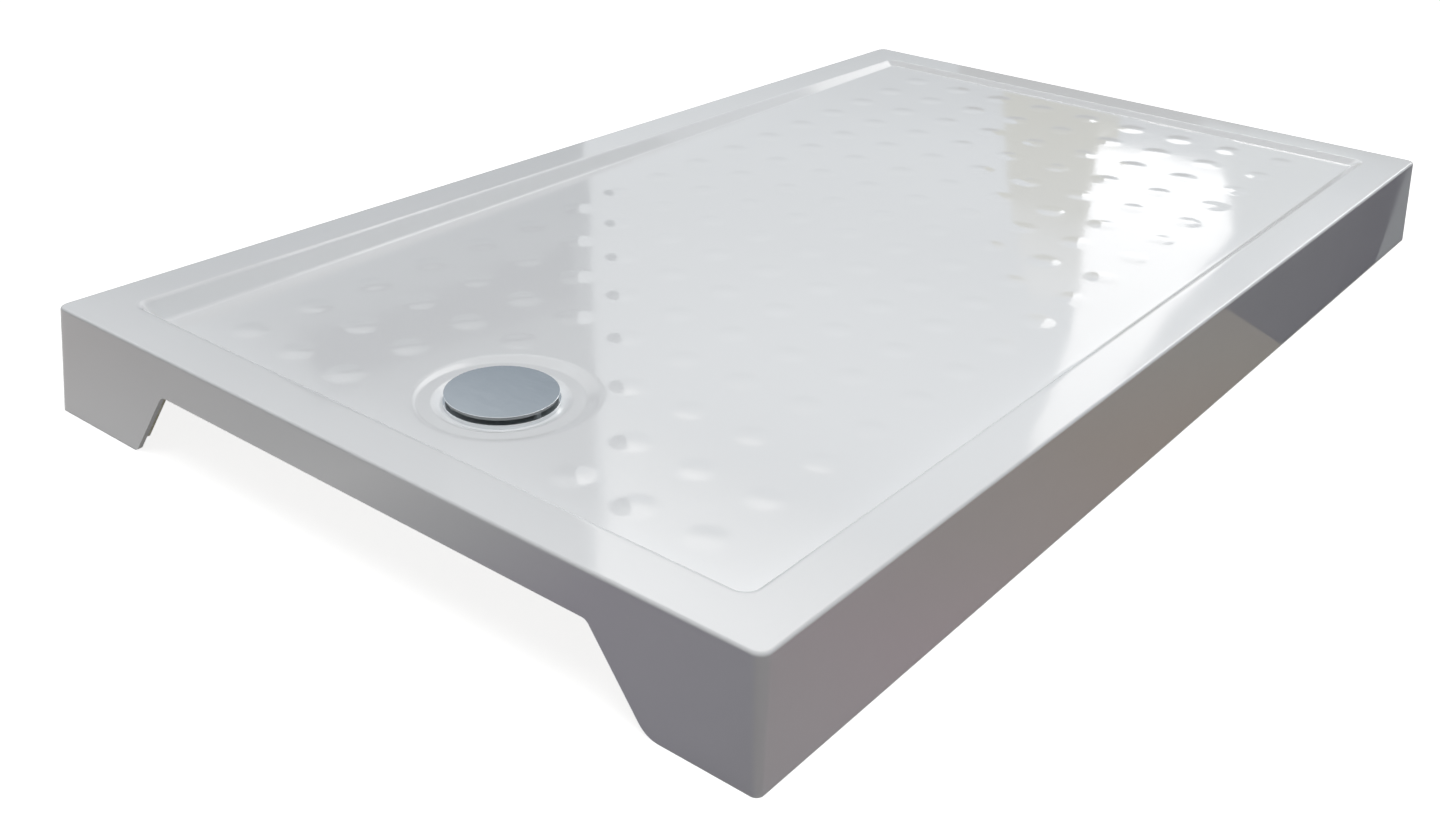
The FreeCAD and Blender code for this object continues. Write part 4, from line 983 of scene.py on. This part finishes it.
def make_ground_cards():
    """The light and dark stretches of the ground that the skirts' gloss picks up."""
    edge_x, edge_y = GROUND_EDGE_X, GROUND_EDGE_Y
    near_x, near_y = GROUND_NEAR_X, GROUND_NEAR_Y
    far = GROUND_FAR
    ground_card("ground_front", rectangle(GROUND_FRONT_END, -near_y, edge_x, -edge_y), GROUND_FRONT_GLOW,
                axis="X", span=(-0.5, 0.4), strength=2.75)
    ground_card("ground_right", rectangle(edge_x, -near_y, near_x, near_y), GROUND_RIGHT_GLOW,
                axis="Y", span=(-0.6, 0.25))
    ground_card("ground_back", rectangle(-edge_x, edge_y, edge_x, near_y), plain(0.6, 0.6, 0.6))
    ground_card("ground_left", rectangle(-near_x, -edge_y, -edge_x, near_y), plain(0.6, 0.6, 0.6))
    ground_card("ground_left_far", rectangle(-far, -edge_y, -near_x, far), plain(0.2, 0.2, 0.2))
    ground_card("ground_back_far", rectangle(-near_x, near_y, edge_x, far), plain(0.2, 0.2, 0.2))
    ground_card("ground_right_far", DARK_SIDE, plain(0.04, 0.035, 0.08), level=2 * GROUND_LEVEL)
    ground_card("ground_patch", PATCH_IN_DARK, plain(0.37, 0.39, 0.42), level=4 * GROUND_LEVEL)


def make_camera():
    """The photograph's camera, found from the tray's seven visible corners."""
    data = bpy.data.cameras.new("camera")
    data.sensor_width = SENSOR_WIDTH
    data.lens = LENS
    data.clip_end = VIEW_DEPTH
    camera = bpy.data.objects.new("camera", data)
    camera.location = CAMERA_PLACE
    camera.rotation_euler = [math.radians(angle) for angle in CAMERA_TURN]
    bpy.context.scene.collection.objects.link(camera)
    bpy.context.scene.camera = camera


# ---------------------------------------------------------------- the object

ACRYLIC = acrylic_material()
CHROME = chrome_material()
dress_nodes()

tray = make_tray()
dress(tray, ACRYLIC, sawn_edge_material())
mark_sawn_edges(tray.data)
smooth_with_creases(tray, TRAY_CREASE)
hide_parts("tray_shell")
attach(tray, "root")

cover = turned_object("chrome_cover", rounded_path(COVER_OUTLINE, COVER_ROUNDINGS, COVER_ARC_STEPS))
dress(cover, CHROME)
smooth_with_creases(cover, CHROME_CREASE)
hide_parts("waste_cover")
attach(cover, "cover")

flange = turned_object("chrome_flange", rounded_path(FLANGE_OUTLINE, FLANGE_ROUNDINGS, FLANGE_ARC_STEPS))
dress(flange, CHROME)
smooth_with_creases(flange, CHROME_CREASE)
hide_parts("waste_flange")
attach(flange, "root")

# ---------------------------------------------------------------- light and view

studio_floor()
studio_world()
make_camera()
overhead_lamp()
make_cyclorama()
make_room_cards()
make_ground_cards()

scene = bpy.context.scene
scene.view_settings.view_transform = "Standard"
